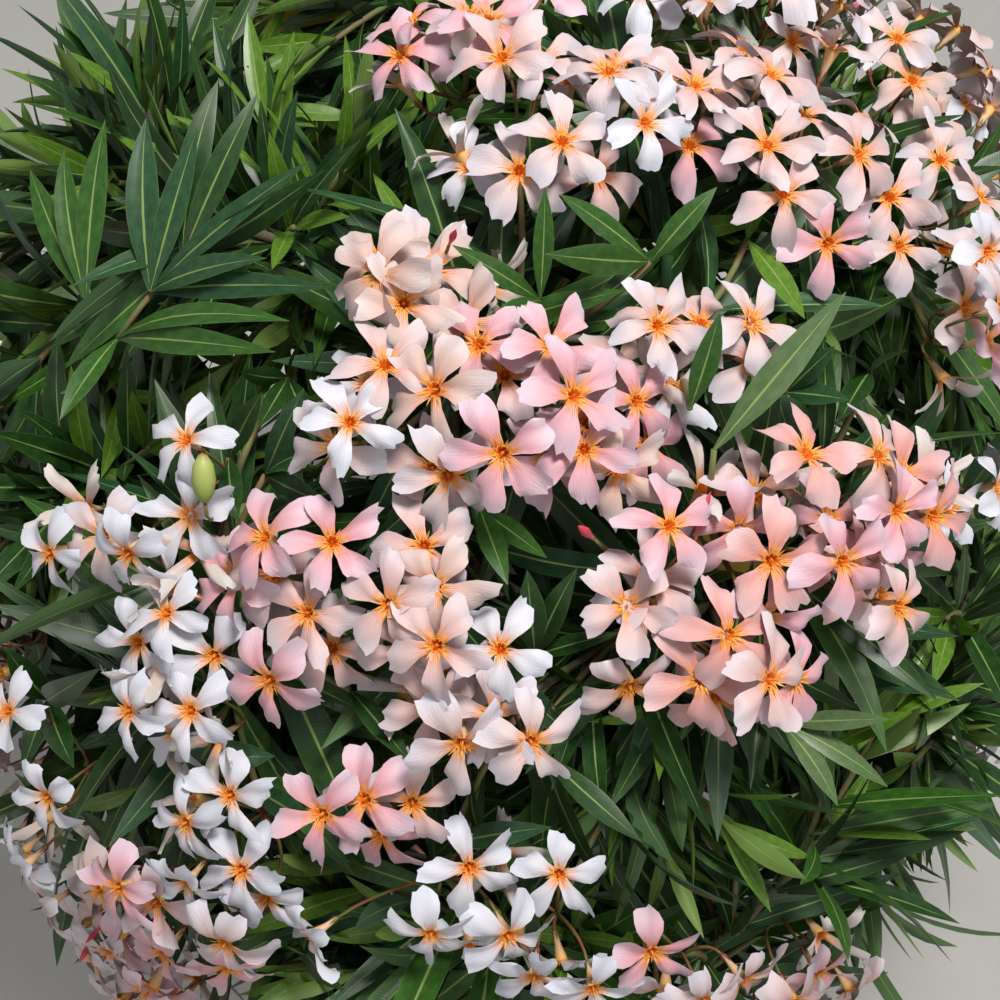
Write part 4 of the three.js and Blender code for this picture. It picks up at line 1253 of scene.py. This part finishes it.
# Each tint of the petals: the blade and its tip
TINTS = {
    # The white tint is the petals' white with a bluish-lilac cast, which is painted shade: the cool colour
    # that white petals take on in shade.
    "white": ((0.65, 0.63, 0.69, 1), (0.65, 0.67, 0.76, 1)),
    "pale": ((0.65, 0.50, 0.49, 1), (0.64, 0.60, 0.67, 1)),
    "blush": ((0.66, 0.43, 0.41, 1), (0.65, 0.56, 0.60, 1)),
    "peach": ((0.65, 0.43, 0.37, 1), (0.64, 0.54, 0.54, 1)),
    "pink": ((0.71, 0.35, 0.40, 1), (0.69, 0.52, 0.61, 1)),
    "salmon": ((0.71, 0.33, 0.30, 1), (0.71, 0.49, 0.51, 1)),
    "faded": ((0.64, 0.53, 0.48, 1), (0.64, 0.60, 0.59, 1)),
}
THROAT_YELLOW = (0.92, 0.46, 0.06, 1)
THROAT_ORANGE = (0.80, 0.20, 0.010, 1)
THROAT_RED = (0.70, 0.16, 0.012, 1)
TUBE_PALE = (0.80, 0.52, 0.30, 1)
STALK_GREEN = (0.14, 0.18, 0.04, 1)
STALK_RED = (0.28, 0.065, 0.040, 1)
BUD_ROSE = (0.62, 0.060, 0.095, 1)
BUD_PALE = (0.78, 0.22, 0.20, 1)
POD_GREEN = (0.24, 0.32, 0.06, 1)
POD_PALE = (0.42, 0.48, 0.14, 1)
rng = np.random.default_rng(41)


def petal_group():
    """The petal's colour: its tint fades to the tip, a yellow flush spreads from the throat, and orange
    rays of uneven length run out from there between fainter streaks."""
    group, given = new_group("petal", Vector="Vector", Centre="Float", Tint="Color", Tip="Color",
                             Flush="Color", Ray="Color", Strength="Float")
    across, along = across_blade(group, given["Vector"], given["Centre"])
    colour = blend_colours(group, ranged(group, along, 0.35, 1.0), given["Tint"], given["Tip"])
    streaks = add_node(group, "CombineXYZ", {0: arithmetic(group, "MULTIPLY", across, 5.5), 1: along})
    streak = noise(group, streaks.outputs[0], 2.0, 3.0)
    colour = blend_colours(group, ranged(group, streak, 0.35, 0.75, 0.0, 0.30), colour, given["Tip"])
    strength = given["Strength"]
    flush = arithmetic(group, "MULTIPLY", ranged(group, along, 0.03, 0.20, 0.80, 0.0), strength)
    colour = blend_colours(group, flush, colour, given["Flush"])
    bands = add_node(group, "CombineXYZ", {0: arithmetic(group, "MULTIPLY", across, 4.2)})
    length = ranged(group, noise(group, bands.outputs[0], 1.0, 1.0), 0.3, 0.7, 0.20, 0.42)
    wave = arithmetic(group, "SINE", arithmetic(group, "MULTIPLY", across, 2 * np.pi * PETAL_RAYS))
    line = ranged(group, wave, 0.1, 0.8)
    fade = arithmetic(group, "DIVIDE", along, length)
    ray = arithmetic(group, "MULTIPLY", line, ranged(group, fade, 0.55, 1.0, 1.0, 0.0))
    heart = ranged(group, along, 0.0, 0.10, 0.7, 0.0)
    ray = arithmetic(group, "MULTIPLY", arithmetic(group, "MAXIMUM", ray, heart), strength)
    return end_group(group, blend_colours(group, ray, colour, given["Ray"]), streak)


petal_pattern = petal_group()


def petal_materials(tint):
    """The inner side with its rays and the plainer, warmer outer side of the petals of one tint."""
    body, tip = TINTS[tint]
    rays = 0.8 if tint == "white" else 1.0
    sides = (("petal", UPPER_CENTRE, rays), ("petal_back", UNDER_CENTRE, 0.25))
    return [blade_material(f"{side}_{tint}", petal_pattern, 0.55, 0.0004, 0.7, Centre=centre, Tint=body,
                           Tip=tip, Flush=THROAT_YELLOW, Ray=THROAT_ORANGE, Strength=strength)
            for side, centre, strength in sides]


def smooth(x):
    """A smooth step from 0 to 1, x^2 (3 - 2x)."""
    x = np.clip(x, 0, 1)
    return x * x * (3 - 2 * x)


def petal_blades(centre, basis, size, lift, reflex, crumple, rng):
    """Upper and lower grids of five petals to a flower, each in its flower's own frame. Along the petal
    r = throat + L(s + oblique v s^4 - rounded |v|^3 s^5 + ragged s^6), the width grows smoothly from its
    foot and draws in at the end, and the height is L(lift s - reflex s^2) plus a hollow, a twist and a
    curled end."""
    flowers = len(centre)
    count = flowers * PETALS

    def each(low, high):
        """A number drawn between two limits for each petal."""
        return rng.uniform(low, high, (count, 1, 1))

    def per_flower(values):
        """The flower's own number for each of its petals."""
        return np.repeat(values, PETALS)[:, None, None]

    s = (np.linspace(0, 1, PETAL_ROWS) ** 0.9)[None, :, None]
    v = np.linspace(-1, 1, PETAL_COLUMNS)[None, None, :]
    size, lift, reflex, crumple = (per_flower(a) for a in (size, lift, reflex, crumple))
    length = (FLOWER_RADIUS - THROAT_RADIUS) * size * each(*PETAL_LENGTHS)
    width = PETAL_WIDTH * size * each(*PETAL_WIDTHS) * (1 - 0.45 * crumple)
    half = PETAL_FOOT / 2 + (width - PETAL_FOOT) / 2 * smooth(s / 0.72)
    half = half * (1 - each(*NARROWER_ENDS) * smooth((s - 0.80) / 0.20))
    ragged = rng.normal(0, RAGGED, (count, 1, PETAL_COLUMNS))
    x = THROAT_RADIUS * size + length * (s + each(*OBLIQUE) * v * s ** 4
                                         - each(*ROUNDED) * np.abs(v) ** 3 * s ** 5 + ragged * s ** 6)
    sweep = per_flower(rng.uniform(*PINWHEEL, flowers))
    hollow = each(*HOLLOWS) - 1.2 * crumple * each(0, 1)
    z = hollow * half * v ** 2 + 0.12 * half * np.sin(5 * s + 4 * v + each(0, 6))
    twist = np.radians(each(*TWISTS) + 60 * crumple * each(-1, 1)) * s
    y, z = rotated(v * half, z, twist)
    y = y + sweep * length * s ** 2
    curl = each(*CURLS)
    z = z + length * ((lift + each(-0.10, 0.10)) * s - (reflex + each(-0.14, 0.20)) * s ** 2
                      - 0.5 * curl * np.clip(s - 0.66, 0, 1) ** 1.5)
    turn = np.radians(360 / PETALS * np.tile(np.arange(PETALS), flowers)[:, None, None] + each(-8, 8))
    x, y = rotated(x, y, turn)
    local = np.stack(np.broadcast_arrays(x, y, z), axis=-1)
    world = np.einsum("nij,nrcj->nrci", np.repeat(basis, PETALS, axis=0), local)
    upper = world + np.repeat(centre, PETALS, axis=0)[:, None, None]
    down = np.repeat(basis[:, :, 2], PETALS, axis=0)[:, None, None]
    return upper, upper - PETAL_THICK * (1 - v[..., None] ** 2) * down


lift = np.where(is_faded, 1.1, rng.uniform(*OPEN_LIFTS, flower_count))
reflex = np.where(is_faded, 0.5, rng.uniform(*OPEN_REFLEXES, flower_count))
petal_pieces = []
for tint in TINTS:
    chosen = flower_tints == tint
    if not chosen.any():
        continue
    upper, lower = petal_blades(flower_places[chosen], flower_frames[chosen], flower_sizes[chosen],
                                lift[chosen], reflex[chosen], is_faded[chosen].astype(float), rng)
    petal_pieces.append(blades(f"petals_{tint}", upper, lower, petal_materials(tint)))


def in_frames(local, places, bases, sizes):
    """A local shape set at each place, turned into each frame and scaled."""
    world = np.einsum("nij,...j->n...i", bases, local)
    spread = (len(places),) + (1,) * (local.ndim - 1)
    return world * sizes.reshape(spread + (1,)) + places.reshape(spread + (3,))


def plain_pattern(name, stops, roughness):
    """A material whose colour runs through a few colours along the piece's own map."""
    material, tree, shader = new_material(name, Roughness=roughness)
    flat = add_node(tree, "UVMap", uv_map="OFBake").outputs["UV"]
    split = add_node(tree, "SeparateXYZ", {0: flat})
    ramp = add_node(tree, "ValToRGB", {0: split.outputs["Y"]})
    elements = ramp.color_ramp.elements
    elements[0].position, elements[0].color = stops[0]
    elements[1].position, elements[1].color = stops[-1]
    for position, colour in stops[1:-1]:
        elements.new(position).color = colour
    tree.links.new(ramp.outputs["Color"], shader.inputs["Base Color"])
    return material


def many_turned(name, outline, sides, places, bases, sizes, material):
    """The same turned outline, in metres, at many places, as one piece whose map has the share round as
    u and the share along as v."""
    points = in_frames(turned(np.asarray(outline, float), sides), places, bases, sizes)
    piece = new_piece(name, points, like_grids(points), [material])
    corners = grid_faces(len(outline), sides)
    along = (corners // sides) / (len(outline) - 1)
    around = (corners % sides) / sides
    around[:, 1:3] = around[:, :1] + 1 / sides
    add_map(piece, np.stack([around, along], axis=-1), len(places))
    return piece


throat_outline = [(0.0001, -0.0174), (0.0012, -0.0168), (0.0019, -0.0095), (0.0034, -0.0025),
                  (0.0037, 0.0002), (0.0031, -0.0006), (0.0018, -0.0050), (0.0001, -0.0070)]
throat_colours = [(0.0, TUBE_PALE), (0.3, TUBE_PALE), (0.56, THROAT_YELLOW), (0.72, THROAT_ORANGE),
                  (1.0, THROAT_RED)]
throats = many_turned("throats", throat_outline, 7, flower_places, flower_frames, flower_sizes,
                      plain_pattern("throat", throat_colours, 0.6))
bud_frames = frames(bud_ways, rng.uniform(0, 2 * np.pi, len(bud_places)))
bud_sizes = rng.uniform(0.7, 1.15, len(bud_places))
bud_outline = [(0.0001, 0.0), (0.0009, 0.0006), (0.0010, 0.004), (0.0019, 0.008), (0.0023, 0.0115),
               (0.0015, 0.0155), (0.0001, 0.0195)]
bud_colours = [(0.0, STALK_RED), (0.25, BUD_PALE), (0.6, BUD_ROSE), (1.0, BUD_ROSE)]
buds = many_turned("buds", bud_outline, 7, bud_places, bud_frames, bud_sizes,
                   plain_pattern("bud", bud_colours, 0.5))

# One green seed pod stands among the leaves on a short stalk
pod_place = seen_at([SEEN_POD], POD_ABOVE)
pod_way = unit(VIEW_UP + 0.3 * VIEW_BACK)[None]
pod_outline = [(0.0001, 0.0), (0.0018, 0.0004), (0.0046, 0.005), (0.0058, 0.011), (0.0048, 0.018),
               (0.0022, 0.0225), (0.0001, 0.024)]
pod_colours = [(0.0, STALK_GREEN), (0.25, POD_GREEN), (0.75, POD_PALE), (1.0, STALK_RED)]
pods = many_turned("seed_pods", pod_outline, 12, pod_place, frames(pod_way, np.zeros(1)), np.ones(1),
                   plain_pattern("seed_pod", pod_colours, 0.5))

# The crown of the throat: narrow fringed tongues of two lengths round its mouth, and the pointed
# bundle of anthers in the middle
TONGUES = 14


def kites(outline, turns, shares):
    """Flat four-cornered blades round +Z: radius, side step and height of each corner, turned by each
    angle and drawn out by each share."""
    r, side, z = np.moveaxis(np.array(outline)[None] * shares[:, None, None], -1, 0)
    return np.stack([*rotated(r, side, turns[:, None]), z], axis=-1)


def kite_piece(name, corners, chosen, material):
    """The same four-cornered blades in each chosen flower, as one piece."""
    points = in_frames(corners, flower_places[chosen], flower_frames[chosen], flower_sizes[chosen])
    faces = np.arange(points.size // 3).reshape(-1, 4)
    return new_piece(name, points, faces, [material])


tongue = [(0.0021, 0, -0.0010), (0.0040, 0.00045, 0.0009), (0.0070, 0, 0.0018), (0.0040, -0.00045, 0.0009)]
tongue_shares = np.where(np.arange(TONGUES) % 2, 0.78, 1.12)
tongues = kites(tongue, 2 * np.pi * np.arange(TONGUES) / TONGUES, tongue_shares)
anther = [(0.0001, 0, 0.0030), (0.0007, -0.0004, 0.0), (0.0013, 0, -0.0050), (0.0007, 0.0004, 0.0)]
fifths = 2 * np.pi * np.arange(PETALS) / PETALS
anthers = kites(anther, fifths + 0.3, np.ones(PETALS))
fringe_material = mottled_material("throat_fringe", 260.0, 900.0, THROAT_ORANGE, THROAT_YELLOW, 0.6)
fringes = kite_piece("throat_fringes", np.concatenate([tongues, anthers]), open_flowers, fringe_material)

# Calyx and stalk: five small sepals round the foot of the tube, and a thin stalk from the shoot's tip
sepal = [(0.0008, 0, -0.0185), (0.0019, 0.0009, -0.0160), (0.0018, 0, -0.0112), (0.0019, -0.0009, -0.0160)]
stalk_material = shoot_material("flower_stalk", STALK_GREEN, STALK_RED)
calyces = kite_piece("calyces", kites(sepal, fifths, np.ones(PETALS)), slice(None), stalk_material)
flower_bases = flower_places - TUBE_LENGTH * flower_sizes[:, None] * flower_ways
stalk_feet = np.concatenate([flower_feet, bud_feet, nearest_foot(pod_place)[None]])
stalk_tops = np.concatenate([flower_bases, bud_places, pod_place])
stalk_ways = np.concatenate([flower_ways, bud_ways, pod_way])
distance = np.linalg.norm(stalk_tops - stalk_feet, axis=-1, keepdims=True)
stalk_bends = stalk_tops - 0.4 * distance * stalk_ways
stalk_curves = np.stack([stalk_feet, stalk_bends, stalk_tops], axis=1)
stalk_points = limbs(stalk_curves, np.tile(STALK_RADII, (len(stalk_curves), 1)), 6, 4)
stalks = new_piece("flower_stalks", stalk_points, like_grids(stalk_points), [stalk_material],
                   merge=FINE_WELD)
for piece in (*petal_pieces, throats, fringes, buds, pods, calyces, stalks):
    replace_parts(piece, *mass_names)


# The stage: a plain pale floor, soft studio lights and the camera at the photograph's steep angle. Each
# light has its place, the side of its square in metres, its watts and its colour.
FLOOR_SIDE = 60.0
FLOOR_PALE = (0.58, 0.57, 0.55, 1)
FLOOR_WORN = (0.52, 0.51, 0.49, 1)
LIGHTS = {
    "key_light": ((0.45, 0.0, 3.2), 0.6, 63, (1.0, 0.97, 0.93)),
    "fill_light": ((2.2, -1.8, 1.8), 2.4, 14, (1.0, 0.98, 0.95)),
    "front_light": ((-1.6, -2.4, 1.6), 1.8, 8, (1.0, 0.98, 0.94)),
}
LIGHT_AIM = Vector((0, 0, 0.55))
STUDIO_PALE = (0.88, 0.89, 0.90, 1)
STUDIO_STRENGTH = 0.32
SENSOR = 36.0
floor_points = np.array([(-1, -1, 0), (1, -1, 0), (1, 1, 0), (-1, 1, 0)]) * (FLOOR_SIDE / 2)
floor_mesh = bpy.data.meshes.new("floor")
floor_mesh.from_pydata(floor_points.tolist(), [], [(0, 1, 2, 3)])
floor_mesh.materials.append(mottled_material("floor_paint", 1.5, 60.0, FLOOR_PALE, FLOOR_WORN, 0.9))
floor = bpy.data.objects.new("floor", floor_mesh)
bpy.context.scene.collection.objects.link(floor)


def placed(name, data, place, aim):
    """A light or camera at a place, turned to face along a direction."""
    item = bpy.data.objects.new(name, data)
    item.location = place
    item.rotation_euler = Vector(aim).to_track_quat("-Z", "Y").to_euler()
    bpy.context.scene.collection.objects.link(item)
    return item


for name, (place, size, watts, colour) in LIGHTS.items():
    light = bpy.data.lights.new(name, "AREA")
    light.size = size
    light.energy = watts
    light.color = colour
    placed(name, light, place, LIGHT_AIM - Vector(place))
world = bpy.data.worlds.new("studio")
world.use_nodes = True
world.node_tree.nodes["Background"].inputs["Color"].default_value = STUDIO_PALE
world.node_tree.nodes["Background"].inputs["Strength"].default_value = STUDIO_STRENGTH
bpy.context.scene.world = world
bpy.context.scene.view_settings.view_transform = "Standard"

camera_data = bpy.data.cameras.new("camera")
camera_data.sensor_width = SENSOR
camera_data.lens = SENSOR * VIEW_DISTANCE / VIEW_WIDTH
camera_data.dof.use_dof = False
camera_data.clip_start = 0.01
bpy.context.scene.camera = placed("camera", camera_data, VIEW_TARGET + VIEW_DISTANCE * VIEW_BACK, -VIEW_BACK)
